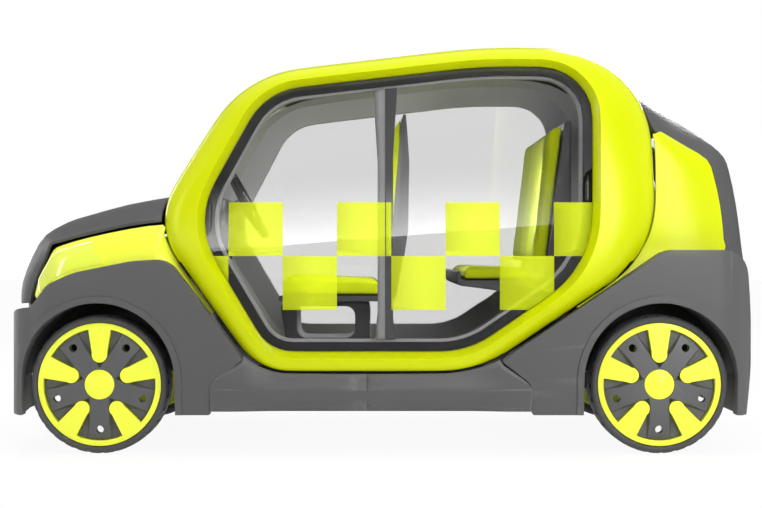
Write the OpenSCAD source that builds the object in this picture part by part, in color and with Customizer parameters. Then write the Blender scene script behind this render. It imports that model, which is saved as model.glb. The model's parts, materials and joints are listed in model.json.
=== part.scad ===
// Small electric city taxi: dark spine of bonnet, glass, roof and tailgate between two yellow side loops.
// Millimetres. +X forward, +Y left, +Z up. Origin on the ground, midway between the axles.

/* [Overall] */
// Distance between the axles
wheelbase = 2140; // [2080:5:2220]
// Distance between the left and right wheel centre planes
track = 1374; // [1340:2:1400]
// Distance of the bumpers' ends from the axles
overhang = 372; // [360:2:400]
// Half of the overall width, over the fenders
half_width = 820; // [812:1:830]
// Underside of fenders and bumpers above the ground
skirt_z = 150; // [130:5:170]

/* [Body sides] */
// Height at which the body side is widest
side_z = 650; // [620:5:680]
// Radius of the curve of the body side, seen from the front
side_r = 3010; // [2900:10:3400]
// How far the fenders stand out from the body side
fender_out = 30; // [20:1:34]
// Corner radius of the front end, seen from above
nose_plan_r = 170; // [120:5:200]
// Half width of the flat middle of the front end, seen from above
nose_flat = 445; // [440:5:480]
// How far the front end sweeps back from its flat middle to its corners
nose_bow = 24; // [16:2:30]
// Corner radius of the rear end, seen from above
tail_plan_r = 180; // [140:5:200]
// Gap between neighbouring skin panels
seam = 6; // [5:0.5:8]

/* [Door loops] */
// Width of the return face inside the crease of a loop
return_w = 25; // [18:1:30]
// How deep the return face runs in from the crease
return_d = 60; // [50:1:70]
// Thickness of the loop's moulding
loop_wall = 30; // [24:1:36]
// Inset of the loop's outer edge along the roof
depth_top = 150; // [130:5:165]
// Inset of the loop's outer edge at the front
depth_front = 70; // [60:5:90]
// Inset of the loop's outer edge at the rear
depth_rear = 100; // [80:5:110]
// Inset of the loop's outer edge along the sill
depth_sill = 25; // [15:1:30]
// Width of the dark door frame strip inside the loop
door_frame_w = 35; // [28:1:45]
// Thickness of the door glass
glass_t = 4.5; // [3.5:0.5:6]
// Place of the seam between the front and rear door panes
pane_seam_x = -23; // [-60:1:20]

/* [Skin] */
// Thickness of the roof with its inner lining
panel_t = 23.6; // [18:0.2:24]
// Thickness of the tailgate
tailgate_t = 17; // [12:1:18]
// Thickness of the bonnet, the front side panels and the quarter panels
bonnet_t = 12; // [10:1:16]
// Thickness of the windscreen
screen_t = 6; // [5:0.5:8]
// Height of the crown of the roof over its edges
roof_crown = 10; // [6:1:20]
// Forward bulge of the windscreen at mid height
screen_crown = 30; // [15:1:36]

/* [Wheels] */
// Radius of the tyre
tyre_r = 265; // [255:1:272]
// Width of the tyre
tyre_w = 150; // [135:1:160]
// Radius of the rim under the tyre
rim_r = 225; // [215:1:230]
// Radius of the yellow face ring of the wheel
face_r = 235; // [230:1:238]
// Radius of the hub cap
hub_cap_r = 57; // [50:1:64]
// Radius of the hole in each cover arm
arm_hole_r = 15; // [10:1:18]
// Distance of that hole from the axle
arm_hole_at = 172; // [165:1:178]
// Distance of a petal's round tip from the hub
petal_mid = 114; // [100:1:124]
// Radius of a petal's tip
petal_tip_r = 30; // [24:1:34]
// Half width of a petal at the face ring
petal_half = 44; // [36:1:50]
// Number of petals on a wheel face
petals = 5; // [5]
// Radius of the stub axles
axle_r = 20; // [16:1:24]
// Radius of the kingpins
kingpin_r = 12; // [10:1:14]
// Radial clearance of pins in their bores
pin_clear = 0.1; // [0.05:0.01:0.2]

/* [Arches] */
// Gap between a tyre and its wheel arch
arch_gap = 27; // [23:1:31]
// Height of the arch's centre above the wheel centre
arch_rise = 21; // [15:1:30]
// Width of the raised lip around an arch
arch_lip = 25; // [15:1:32]
// How far that lip stands out
arch_lip_out = 5; // [3:1:8]

/* [Cabin] */
// Top of the floor pan above the ground
floor_z = 335.6; // [335.6]
// Thickness of the floor pan
floor_t = 45; // [35:1:55]
// Depth of sills and fenders, from the floor pan's edge to the body side
sill_depth = 80; // [70:1:90]
// Half width of the driver's seat
driver_half = 215; // [190:5:240]
// Distance of the rear bench's ends from the floor pan's edge
bench_gap = 165; // [150:5:200]
// Distance of the driver's seat from the dashboard
knee_room = 219; // [190:1:250]
// Radius of the steering wheel to the middle of its rim
wheel_rim_r = 165; // [150:1:180]
// Angle of the steering column above level
column_tilt = 28.4; // [24:0.2:34]

/* [Towing] */
// Radius of the socket for the screw-in towing eye
tow_r = 10; // [8:0.5:12]
// Depth of that socket
tow_depth = 36; // [30:1:40]
// Distance of that socket from the middle of the bumper
tow_y = 420; // [380:5:450]
// Height of that socket above the ground
tow_z = 450; // [420:5:480]

/* [Hidden] */
$fn = 96;

yellow = [0.87, 0.92, 0.04];
dark = [0.33, 0.33, 0.34];
black = [0.10, 0.10, 0.11];
grey = [0.55, 0.56, 0.57];
clear = [0.80, 0.84, 0.86, 0.35];
red = [0.70, 0.05, 0.05];

fit = 0.4;
axle_x = wheelbase / 2;
axle_z = tyre_r;
wheel_y = track / 2;
half_length = axle_x + overhang;
arch_r = tyre_r + arch_gap;
// Half widths over the crease of the side loop, over the floor pan and over the bench
side_half = half_width - fender_out;
floor_half = side_half - sill_depth;
bench_half = floor_half - bench_gap;
side_c = side_half - side_r;
well_half = 440;
sheet_low = 300;
sheet_high = 1560;
sheet_steps = 28;
// Axle place and overhang for which the tables of places are drawn
drawn_axle_x = 1070;
drawn_overhang = 372;

// Place along the car for a drawn place x: it follows the wheelbase between the axles and the
// overhang past them
function along(x) = abs(x) <= drawn_axle_x ? x * axle_x / drawn_axle_x
    : sign(x) * (axle_x + (abs(x) - drawn_axle_x) * overhang / drawn_overhang);
// Half width of the body side at height z
function side_y(z) = side_c + sqrt(pow(side_r, 2) - pow(z - side_z, 2));
function unit(v) = v / norm(v);
function mix(a, b, t) = a + (b - a) * t;
function turned(v, a) = [v.x * cos(a) - v.y * sin(a), v.x * sin(a) + v.y * cos(a)];
function flat(v) = [v.x, v.y];

// Arc that rounds corner b between a and c
function corner_arc(a, b, c, r, n) =
    let (u = unit(a - b), v = unit(c - b), half = acos(u * v) / 2,
        m = b + unit(u + v) * r / sin(half),
        s = b + u * r / tan(half) - m,
        sense = u.x * v.y - u.y * v.x > 0 ? -1 : 1)
    [for (i = [0:n]) m + turned(s, sense * (180 - 2 * half) * i / n)];

// Closed outline from a table of corners: x, z, radius
function outline(table, n = 6, m = 1) =
    let (k = len(table),
        arcs = [for (i = [0:k - 1])
            corner_arc(flat(table[(i + k - 1) % k]), flat(table[i]), flat(table[(i + 1) % k]), table[i][2],
                n)])
    [for (i = [0:k - 1]) each concat(arcs[i],
        [for (j = [1:1:m - 1]) mix(arcs[i][n], arcs[(i + 1) % k][0], j / m)])];

// Outward normals of a closed outline
function normals(loop) =
    let (k = len(loop))
    [for (i = [0:k - 1]) let (t = unit(loop[(i + 1) % k] - loop[(i + k - 1) % k])) [t.y, -t.x]];

// Smooth curve through the points p, cut into n spans
function curve(p, n) =
    let (k = len(p) - 1)
    [for (s = [0:n]) let (q = s * k / n, i = min(floor(q), k - 1), t = q - i,
        a = p[max(i - 1, 0)], b = p[i], c = p[i + 1], d = p[min(i + 2, k)])
        0.5 * (2 * b + (c - a) * t + (2 * a - 5 * b + 4 * c - d) * t * t + (3 * b - a - 3 * c
            + d) * t * t * t)];

// Value between two stations of a closed list
function between(list, s) = let (i = floor(s), k = len(list)) mix(list[i % k], list[(i + 1) % k], s - i);

// Corners of the loop's outer edge: x, z, radius
outer_corners = [[881, 887, 265], [528, 1473, 447], [-433, 1589, 2500], [-1075, 1565, 394],
    [-1063, 768, 390], [-383, 312, 506], [470, 312, 250]];
// Corners of the loop's crease: x, z, radius
crease_corners = [[745, 886, 332], [458, 1423, 280], [-390, 1522, 2000], [-858, 1521, 222],
    [-838, 703, 405], [-349, 365, 370], [437, 365, 180]];
function placed(table) = [for (c = table) [along(c.x), c.y, c.z]];

OUTER = outline(placed(outer_corners), 6, 3);
CREASE = outline(placed(crease_corners), 6, 3);
NORMAL = normals(CREASE);
STATIONS = len(OUTER);

// Loop moved in from the crease by w
function inset_loop(w) = [for (i = [0:STATIONS - 1]) CREASE[i] - NORMAL[i] * w];
// Inset of the loop's outer edge for a given normal
function loop_depth(n) = pow(max(n.x, 0), 2) * depth_front + pow(max(-n.x, 0), 2) * depth_rear
    + pow(max(n.y, 0), 2) * depth_top + pow(max(-n.y, 0), 2) * depth_sill;

// Place of the loop's outer edge at height z, at the front (end = 1) or the rear (end = -1)
function loop_edge(z, end) = end * max([for (i = [0:STATIONS - 1])
    let (a = OUTER[i], b = OUTER[(i + 1) % STATIONS])
    if ((a.y - z) * (b.y - z) < 0) end * mix(a.x, b.x, (z - a.y) / (b.y - a.y))]);
// Place of a panel's edge beside the loop
panel_gap = 3;
function beside(z, end) = loop_edge(z, end) + end * panel_gap;

// Section of the yellow loop at station i
function loop_section(i) =
    let (c = CREASE[i], o = OUTER[i], n = NORMAL[i], d = loop_depth(n), y = side_y(c.y),
        inner = c - n * return_w, back = o - n * 4, middle = mix(c, o, 0.5))
    concat([for (t = [0:22.5:90]) let (p = mix(c, o, sin(t))) [p.x, y - d * (1 - cos(t)), p.y]],
        [[back.x, y - d - loop_wall, back.y],
            [middle.x, y - 0.134 * d - loop_wall - 8, middle.y],
            [inner.x, side_y(inner.y) - return_d - loop_wall, inner.y],
            [inner.x, side_y(inner.y) - return_d, inner.y]]);

// Section of the body side frame at station i: it lies behind the loop and carries the spine's panels
function frame_section(i) =
    let (c = CREASE[i], o = OUTER[i], n = NORMAL[i], d = loop_depth(n), y = side_y(c.y), g = 0.8,
        inner = c - n * return_w, lip = c - n * (return_w + door_frame_w + 10), top = o - n * 24,
        middle = mix(c, o, 0.5), low = mix(c, o, 0.3))
    [[lip.x, side_y(lip.y) - return_d - loop_wall - g, lip.y],
        [inner.x, side_y(inner.y) - return_d - loop_wall - g, inner.y],
        [middle.x, y - 0.134 * d - loop_wall - 8 - g, middle.y],
        [top.x, y - d - loop_wall - g, top.y],
        [top.x, y - d - loop_wall - 40, top.y],
        [low.x, y - 0.134 * d - loop_wall - 68, low.y],
        [lip.x, side_y(lip.y) - return_d - loop_wall - 50, lip.y]];

// Closed solid swept through a ring of like sections, its faces split along the one or the other diagonal
module swept_ring(sections, forward) {
    k = len(sections);
    c = len(sections[0]);
    polyhedron(points = [for (s = sections) each s],
        faces = [for (i = [0:k - 1], j = [0:c - 1])
            let (a = i * c + j, b = i * c + (j + 1) % c, e = ((i + 1) % k) * c + j,
                f = ((i + 1) % k) * c + (j + 1) % c)
            each forward ? [[a, b, f], [a, f, e]] : [[a, b, e], [b, f, e]]],
        convexity = 10);
}

// Closed solid between two like grids of points
module slab(outer, inner) {
    r = len(outer);
    c = len(outer[0]);
    h = r * c;
    rim = concat([for (j = [0:c - 2]) j], [for (i = [0:r - 2]) i * c + c - 1],
        [for (j = [c - 1:-1:1]) (r - 1) * c + j], [for (i = [r - 1:-1:1]) i * c]);
    k = len(rim);
    polyhedron(points = concat([for (row = outer) each row], [for (row = inner) each row]),
        faces = concat(
            [for (i = [0:r - 2], j = [0:c - 2]) let (a = i * c + j, b = a + 1, e = a + c, f = e + 1)
                each [[a, b, f], [a, f, e]]],
            [for (i = [0:r - 2], j = [0:c - 2]) let (a = h + i * c + j, b = a + 1, e = a + c, f = e + 1)
                each [[a, f, b], [a, e, f]]],
            [for (i = [0:k - 1]) let (a = rim[i], b = rim[(i + 1) % k])
                each [[a, h + b, b], [a, h + a, h + b]]]),
        convexity = 8);
}

// Points of a grid moved by t against the surface normal
function thickened(grid, t) =
    let (r = len(grid) - 1, c = len(grid[0]) - 1)
    [for (i = [0:r]) [for (j = [0:c])
        let (a = grid[min(i + 1, r)][j] - grid[max(i - 1, 0)][j],
            b = grid[i][min(j + 1, c)] - grid[i][max(j - 1, 0)])
        grid[i][j] - unit(cross(a, b)) * t]];

// Panel across the car, resting on both side frames from station s0 to s1
module spine_panel(s0, s1, columns, sunk, thick, crown_of) {
    stops = concat([s1], [for (i = [ceil(s1) - 1:-1:floor(s0) + 1]) i], [s0]);
    function row(s, drop) =
        let (o = between(OUTER, s), c = between(CREASE, s), n = unit(between(NORMAL, s)),
            w = side_y(c.y) - loop_depth(n) - loop_wall - seam, f = (s - s0) / (s1 - s0),
            rise = crown_of[0] + (crown_of[1] - crown_of[0]) * sin(180 * f))
        [for (j = [0:columns]) let (v = 2 * j / columns - 1, p = o + n * (rise * (1 - v * v) - sunk - drop))
            [p.x, w * v, p.y]];
    slab([for (s = stops) row(s, 0)], [for (s = stops) row(s, thick)]);
}

// Side outlines drawn in x and z, pushed along y from y0 to y1
module along_y(y0, y1) translate([0, y1, 0]) rotate([90, 0, 0]) linear_extrude(y1 - y0) children();
// The same solid on both sides of the car
module both_sides() {
    children();
    mirror([0, 1, 0]) children();
}

// Body side as a round solid, moved out by off
module side_barrel(off) translate([-1600, side_c, side_z]) rotate([0, 90, 0])
    cylinder(r = side_r + off, h = 3200, $fn = 360);
// Side outline cut from a sheet that follows the left body side between two offsets
module on_side(off_in, off_out) intersection() {
    along_y(400, 900) children();
    translate([-1600, 0, 0]) rotate([90, 0, 90]) linear_extrude(3200) polygon(concat(
        [for (i = [0:sheet_steps]) let (z = mix(sheet_low, sheet_high,
            i / sheet_steps)) [side_y(z) + off_in, z]],
        [for (i = [sheet_steps:-1:0]) let (z = mix(sheet_low, sheet_high,
            i / sheet_steps)) [side_y(z) + off_out, z]]));
}
// Angle by which the front end sweeps back beside its flat middle, so that it meets the corners smoothly
nose_reach = [nose_plan_r + nose_bow, half_width - nose_plan_r - nose_flat];
nose_sweep = acos(nose_plan_r / norm(nose_reach)) - atan2(nose_reach.y, nose_reach.x);
// Front end's place at a distance y from the middle
function nose_face(y) = half_length - max(0, y - nose_flat) * tan(nose_sweep);
// Outline of the lower body seen from above, moved in by off
module plan_outline(off) {
    l = half_length - off;
    w = half_width - off;
    rf = nose_plan_r - off;
    rr = tail_plan_r - off;
    corner = [l - nose_bow - rf, w - rf];
    swept = corner + rf * [cos(nose_sweep), sin(nose_sweep)];
    front = [l, nose_flat - off * tan(nose_sweep / 2)];
    translate([-l + rr, -w]) square([l - rr + corner.x, 2 * w]);
    translate([-l, -w + rr]) square([l, 2 * (w - rr)]);
    for (s = [-1, 1]) {
        polygon([[0, 0], [l, 0], [front.x, s * front.y], [swept.x, s * swept.y], [corner.x, s * corner.y],
            [0, s * corner.y]]);
        translate([corner.x, s * corner.y]) circle(rf);
        translate([-l + rr, s * (w - rr)]) circle(rr);
    }
}
// Wheel opening in a fender, about an axle at x
module arch_opening(x, grow = 0) {
    translate([x, axle_z + arch_rise]) circle(arch_r + grow);
    translate([x - arch_r - grow, 0]) square([2 * (arch_r + grow), axle_z + arch_rise]);
}

// Ledge at the top of the rear fenders: height, width and thickness
ledge_z = 779;
ledge_w = 110;
ledge_t = 14;
// Corners of the front fender: x, z, radius
front_fender_corners = placed([[648, skirt_z, 3], [641, 272, 60], [520, 362, 6], [551, 409, 60],
    [806, 745, 90],
    [940, 737, 300], [1160, 693, 300], [1255, 650, 90], [1325, 562, 8], [1442, 548, 80],
        [1442, skirt_z, 3]]);
// Corners of the rear fender and bumper, whose top corners have radius top_r: x, z, radius
fender_top_r = 110;
bumper_top_r = 12;
function rear_corners(top_r) = placed([[-586, skirt_z, 3], [-1404, skirt_z, 3], [-1446.2, 413, 600],
    [-1406, ledge_z, top_r], [-1090, ledge_z, 120], [-510, 389, 60], [-470, 352, 6], [-579, 268, 60]]);

// Lower skin on the left side, inside a side outline
module lower_skin(half_inner) intersection() {
    along_y(half_inner, half_width + 20) children();
    side_barrel(fender_out);
    linear_extrude(1000) plan_outline(0);
}

// Fender on the left: skin with the wheel opening and the raised lip around it
module fender(corners, x) {
    lower_skin(floor_half + fit) difference() {
        polygon(outline(corners));
        arch_opening(x);
    }
    intersection() {
        along_y(floor_half + fit, half_width + 20) intersection() {
            polygon(outline(corners));
            difference() {
                arch_opening(x, arch_lip);
                arch_opening(x);
            }
        }
        side_barrel(fender_out + arch_lip_out);
        linear_extrude(1000) plan_outline(-arch_lip_out);
    }
}
// Fender outline moved out by g, for the panels that sit on it
function grown(loop, g) = let (n = normals(loop)) [for (i = [0:len(loop) - 1]) loop[i] - n[i] * g];
module front_fenders() color(dark) both_sides() fender(front_fender_corners, axle_x);
// The rear fender's top runs in as a ledge that carries the quarter panel
module rear_fenders() color(dark) both_sides() {
    fender(rear_corners(fender_top_r), -axle_x);
    translate([along(-1314), floor_half - ledge_w, ledge_z - ledge_t])
        cube([along(-1124) - along(-1314), ledge_w + 2, ledge_t]);
}

// Bumper between the fenders: an end wall with the fender's side outline
module end_volume() intersection() {
    along_y(-floor_half, floor_half) children();
    linear_extrude(1000) plan_outline(0);
}
module end_wall(depth, x_sign) difference() {
    end_volume() children();
    translate([-x_sign * depth, 0, 0]) end_volume() children();
}
// Inner end of the bumpers' sides, and the height of the shelf behind the front bumper
bumper_depth = 64;
bumper_x = half_length - bumper_depth;
bumper_t = 42;
bumper_span = 500;
shelf_z = 525;
shelf_t = 14;
// Air inlet of the front bumper: half width, height and height of its middle, number and size of its slats
inlet = [430, 96, 296];
slats = 4;
slat_size = [16, 9];
// Blank field for the number plate: half width, height, depth and height of its middle at the front
// and the rear
plate = [262, 116, 5];
plate_z = [452, 500];
// Upright slots near the front corners: distance from the middle, width, height, depth, height of
// the middle
side_slot = [610, 34, 150, 26, 360];
// Lip behind the bonnet's front edge: distance from that edge, thickness and height
lip_in = 28;
lip_t = 8;
lip_h = 50;
// Top of the rear bumper, the sill of the tailgate's opening
sill_z = 630;
// Pockets under the rear bumper: number, pitch, width, height, depth
pockets = [7, 140, 118, 62, 22];
// Line about which the bonnet tilts forward: x, z
bonnet_axis = [half_length - 21, 555];
hinge_pin_r = 4;
hinge_half = 300;
// Upright strip that runs inside the bonnet's front edge
module nose_strip() {
    edge = [for (p = crossed(bonnet_rows[len(bonnet_rows) - 1])) if (abs(p.y) < side_half - 160) flat(p)];
    polygon(concat([for (p = edge) p - [lip_in, 0]], [for (p = reversed(edge)) p - [lip_in + lip_t, 0]]));
}
module front_bumper() color(dark) difference() {
    union() {
        difference() {
            end_wall(bumper_t, 1) intersection() {
                polygon(outline(front_fender_corners));
                translate([bumper_x, 0]) square([bumper_span, 1000]);
            }
            translate([half_length, 0, inlet.z]) cube([4 * bumper_t, 2 * inlet.x, inlet.y], center = true);
        }
        intersection() {
            translate([half_length - 150, -floor_half, shelf_z]) cube([110, 2 * floor_half, shelf_t]);
            translate([0, 0, shelf_z - 25]) linear_extrude(100) plan_outline(2);
        }
        translate([0, 0, shelf_z + 2]) linear_extrude(shelf_t + lip_h) nose_strip();
        for (i = [0:slats - 1]) translate([half_length - bumper_t / 2, 0,
            inlet.z + (i - (slats - 1) / 2) * inlet.y / slats])
            cube([slat_size.x, 2 * inlet.x + 30, slat_size.y], center = true);
        for (s = [-1, 1]) translate([bonnet_axis.x, s * hinge_half, bonnet_axis.y]) {
            rotate([90, 0, 0]) cylinder(r = hinge_pin_r, h = 76, center = true);
            for (e = [-1, 1]) translate([0, e * 30, 0]) {
                rotate([90, 0, 0]) cylinder(r = 7, h = 12, center = true);
                translate([-7, -6, -60]) cube([14, 12, 60]);
            }
        }
    }
    for (s = [-1, 1]) translate([nose_face(side_slot.x), s * side_slot.x, side_slot[4]])
        cube([2 * side_slot[3], side_slot.y, side_slot.z], center = true);
    translate([half_length, 0, plate_z[0]]) cube([2 * plate.z, 2 * plate.x, plate.y], center = true);
    translate([half_length - tow_depth, tow_y, tow_z]) rotate([0, 90, 0])
        cylinder(r = tow_r, h = bumper_depth);
}
// Tail lamps: thickness, distance of the middle from the bumper's end, height of the middle, width
// and height
lamp_t = 15;
lamp_in = 105;
lamp_z = 530;
lamp_size = [104, 150];
// Lamp windows in the rear bumper, grown by g
module lamp_window(g) for (s = [-1, 1]) translate([-half_length, s * (floor_half - lamp_in), lamp_z])
    cube([2 * bumper_depth, lamp_size.x + 2 * g, lamp_size.y + 2 * g], center = true);
// Flat round seat around the socket in the curved rear bumper
tow_seat_r = 16;
tow_seat_depth = 4;
module rear_outline() intersection() {
    polygon(outline(rear_corners(bumper_top_r)));
    translate([-bumper_x - bumper_span, 0]) square([bumper_span, sill_z]);
}
module rear_bumper() color(dark) difference() {
    union() {
        end_wall(bumper_t, -1) rear_outline();
        translate([-bumper_x - bumper_t / 2, -floor_half + 1, sill_z - shelf_t - 2])
            cube([bumper_t / 2 - fit, 2 * floor_half - 2, shelf_t]);
    }
    translate([-half_length + tow_seat_depth, -tow_y, tow_z]) rotate([0, -90, 0]) {
        translate([0, 0, -tow_depth]) cylinder(r = tow_r, h = bumper_depth);
        cylinder(r = tow_seat_r, h = bumper_depth);
    }
    translate([-half_length, 0, plate_z[1]]) cube([2 * (plate.z + 4), 2 * plate.x, plate.y], center = true);
    for (i = [0:pockets[0] - 1]) translate([-half_length + 38, (i - (pockets[0] - 1) / 2) * pockets[1],
        skirt_z + 70])
        cube([2 * pockets[4], pockets[2], pockets[3]], center = true);
    difference() {
        lamp_window(fit);
        translate([lamp_t + fit, 0, 0]) end_volume() rear_outline();
    }
}
module tail_lamps() color(red) intersection() {
    end_wall(lamp_t, -1) rear_outline();
    lamp_window(0);
}

// Sill below the door loop, split under the pane seam: its top and underside, the gaps at its ends
sill_top = 306;
sill_low = 164;
sill_seam = 2;
// Edge of the sill's section from the top to the underside: y from the body side, z
sill_edge = [[-18, 306], [8, 252], [10, 244], [7, 237], [-33, 164]];
module sill(x0, x1) intersection() {
    translate([x0, 0, 0]) rotate([90, 0, 90]) linear_extrude(x1 - x0)
        polygon(concat([[floor_half + fit, sill_low], [floor_half + fit, sill_top]],
            [for (p = sill_edge) [side_half + p.x, p.y]]));
    along_y(0, half_width + fender_out) polygon(outline([[along(-586) + sill_seam, sill_low - 4, 3],
        [along(-579) + sill_seam, 266, 60], [along(-468) + sill_seam, 348, 6],
            [along(518) - sill_seam, 356, 6],
        [along(640) - sill_seam, 270, 60], [along(648) - sill_seam, sill_low - 4, 3]]));
}
module sills() color(dark) both_sides() {
    sill(along(-600), pane_seam_x - sill_seam / 2);
    sill(pane_seam_x + sill_seam / 2, along(660));
}

// Liner behind an arch: half a tube with an inner wall
module arch_liner(x) intersection() {
    translate([x, 0, axle_z + arch_rise]) difference() {
        translate([0, floor_half, 0]) rotate([90, 0, 0])
            cylinder(r = liner_r, h = floor_half - well_half);
        translate([0, floor_half + 1, 0]) rotate([90, 0, 0])
            cylinder(r = liner_r - liner_t, h = floor_half - well_half - 5);
        translate([-80, well_half - 10, 0]) cube([160, 40, 85]);
    }
    translate([x - 400, 0, axle_z + arch_rise + 10]) cube([800, 900, 400]);
}
module arch_liners() color(black) both_sides() for (x = [-axle_x, axle_x]) arch_liner(x);

liner_r = arch_r + 14;
liner_t = 6;
pan_end = axle_x - liner_r - 5;
// Length of the trays between the floor pan and the bumpers, and the heights of their undersides
tub_length = bumper_x - pan_end - 2 * fit;
tub_z = 300;
tray_z = 470;

module floor_pan() color(black) {
    translate([-pan_end, -floor_half, floor_z - floor_t]) cube([2 * pan_end, 2 * floor_half, floor_t]);
}
// Tray between the front wheels, under the bonnet
module front_tub() color(black) difference() {
    translate([pan_end + fit, -well_half + fit, tub_z])
        cube([tub_length, 2 * (well_half - fit), shelf_z - fit - tub_z]);
    translate([pan_end + 20, -well_half + 20, tub_z + 20])
        cube([tub_length - 40, 2 * (well_half - 20), 300]);
}
// Upright wall between the cabin and the front end, with the cowl shelf on top
wall_t = 20;
wall_h = 560;
wall_half = floor_half - 110;
cowl_in = 40;
module bulkhead() color(black) {
    translate([pan_end - wall_t, -wall_half, floor_z + fit]) cube([wall_t, 2 * wall_half, wall_h]);
    translate([pan_end - wall_t, -wall_half + cowl_in, floor_z + fit + wall_h])
        cube([3 * wall_t, 2 * (wall_half - cowl_in), wall_t]);
}
// Raised luggage tray over the rear axle
module rear_tub() color(black) difference() {
    translate([-pan_end - fit - tub_length, -well_half + fit, tray_z])
        cube([tub_length, 2 * (well_half - fit), 300]);
    translate([-pan_end - tub_length + 20, -well_half + 20, tray_z + 20])
        cube([tub_length - 40, 2 * (well_half - 20), 300]);
}
// Battery under the floor: half length, half width, height of its underside
battery_size = [pan_end - 199, floor_half - 230];
battery_z = skirt_z + 20;
module battery_pack() color(grey) translate([-battery_size.x, -battery_size.y, battery_z])
    cube([2 * battery_size.x, 2 * battery_size.y, floor_z - floor_t - fit - battery_z]);
module drive_motor() color(grey) {
    translate([-axle_x, 0, 300]) rotate([90, 0, 0]) cylinder(r = 130, h = 360, center = true);
    translate([-axle_x - 120, -180, 300]) cube([240, 360, tray_z - fit - 300]);
}

// Cross beam under the front tub, with an upper and a lower arm and a kingpin on each side
king_y = wheel_y - 37;
king_half = 80;
module front_arm(root_y) linear_extrude(15) {
    translate([axle_x, king_y]) circle(28);
    polygon([[axle_x - 60, root_y], [axle_x + 60, root_y], [axle_x + 28, king_y], [axle_x - 28, king_y]]);
}
module front_axle() color(black) {
    translate([axle_x - 60, -300, 170]) cube([120, 600, tub_z - fit - 170]);
    both_sides() {
        translate([0, 0, axle_z - king_half - 15]) front_arm(299);
        translate([0, 0, axle_z + king_half]) front_arm(well_half);
        translate([axle_x, king_y, axle_z - king_half - 1]) cylinder(r = kingpin_r, h = 2 * king_half + 2);
    }
}
module knuckle() color(grey) difference() {
    union() {
        translate([axle_x, king_y, axle_z - king_half + 1]) cylinder(r = 26, h = 2 * king_half - 2);
        translate([axle_x, king_y, axle_z]) rotate([-90, 0, 0])
            cylinder(r = axle_r, h = wheel_y + 46 - king_y);
    }
    translate([axle_x, king_y, axle_z - 200]) cylinder(r = kingpin_r + pin_clear, h = 400);
}
module knuckle_left() knuckle();
module knuckle_right() mirror([0, 1, 0]) knuckle();
// Torsion beam ahead of the rear wheels, trailing arms and stub axles
module rear_axle() color(black) {
    translate([-pan_end - 60, 0, 262]) rotate([90, 0, 0]) cylinder(r = 28, h = 1100, center = true);
    both_sides() {
        translate([-pan_end - 60, 540, 262]) rotate([0, -90, 0]) translate([-40, -20, 0])
            cube([80, 60, axle_x - pan_end - 60]);
        translate([-axle_x, 520, axle_z]) rotate([-90, 0, 0]) cylinder(r = 45, h = 70);
        translate([-axle_x, 560, axle_z]) rotate([-90, 0, 0]) cylinder(r = axle_r, h = wheel_y + 46 - 560);
    }
    translate([-pan_end - 86, -300, 262]) cube([50, 600, floor_z - 262]);
    translate([-pan_end - 86, -300, 290]) cube([86 - fit, 600, 30]);
}

// Wheels: local z is outboard, local -y is up
module petal_outline(grow) for (i = [0:petals - 1]) rotate(270 + i * 360 / petals) {
    translate([petal_mid, 0]) circle(petal_tip_r + grow);
    polygon([[petal_mid, 2 - petal_tip_r - grow], [face_r - 19, -petal_half - grow],
        [face_r - 19, petal_half + grow], [petal_mid, petal_tip_r + grow - 2]]);
}
module wheel_local() {
    half = tyre_w / 2;
    difference() {
        union() {
            rotate_extrude() polygon([[rim_r - 11, -half + 10], [rim_r, -half + 10], [rim_r, half - 14],
                [face_r, half - 14], [face_r, half - 5], [face_r - 8, half - 2], [face_r - 21, half - 2],
                [face_r - 21, half - 14], [rim_r - 11, half - 20]]);
            translate([0, 0, 24]) cylinder(r = rim_r - 10, h = 10);
            translate([0, 0, 5]) cylinder(r = 40, h = 40);
            translate([0, 0, 30]) cylinder(r = hub_cap_r, h = half - 34);
            translate([0, 0, half - 5]) rotate_extrude() intersection() {
                translate([0, -112]) circle(126);
                square([hub_cap_r, 30]);
            }
            translate([0, 0, 33]) linear_extrude(half - 2 - 33) intersection() {
                petal_outline(0);
                circle(face_r - 15);
            }
        }
        translate([0, 0, -1]) cylinder(r = axle_r + pin_clear, h = 49);
        for (i = [0:petals - 1]) rotate(90 + i * 360 / petals) translate([arm_hole_at, 0, 0])
            cylinder(r = arm_hole_r, h = 200);
    }
}
// Heights of the cover over the wheel's middle plane: underside, sunken fields, ribs
cover_low = 34 + fit;
cover_field = 52;
cover_high = 71.4;
// Ribbed arms between the petals, their ends sloping down to the face ring
module cover_local() difference() {
    intersection() {
        rotate_extrude() polygon([[hub_cap_r + 2, cover_low], [face_r - 24, cover_low],
            [face_r - 24, cover_field + 4],
            [150, cover_high], [hub_cap_r + 2, cover_high]]);
        linear_extrude(100) difference() {
            circle(face_r + 10);
            petal_outline(3);
        }
        union() {
            cylinder(r = face_r + 5, h = cover_field);
            for (i = [0:petals - 1]) rotate(90 + i * 360 / petals) translate([20, 0, 0]) rotate([90, 0, 90])
                linear_extrude(face_r) polygon([[-50, 20], [50, 20], [50, cover_field - 8], [27, 90],
                    [-27, 90], [-50, cover_field - 8]]);
        }
    }
    for (i = [0:petals - 1]) rotate(90 + i * 360 / petals) translate([arm_hole_at, 0, 0])
        cylinder(r = arm_hole_r, h = 200);
}
module tyre_local() {
    half = tyre_w / 2;
    rotate_extrude() polygon([[rim_r + 0.2, -half + 12], [rim_r + 10, -half + 4], [rim_r + 22, -half],
        [tyre_r - 12, -half + 3], [tyre_r - 3, -half + 11], [tyre_r, -half + 24], [tyre_r, half - 24],
        [tyre_r - 3, half - 11], [tyre_r - 12, half - 3], [rim_r + 22, half], [face_r + 1, half - 10],
        [face_r + 1, half - 14.4], [rim_r + 0.2, half - 14.4]]);
}
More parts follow.
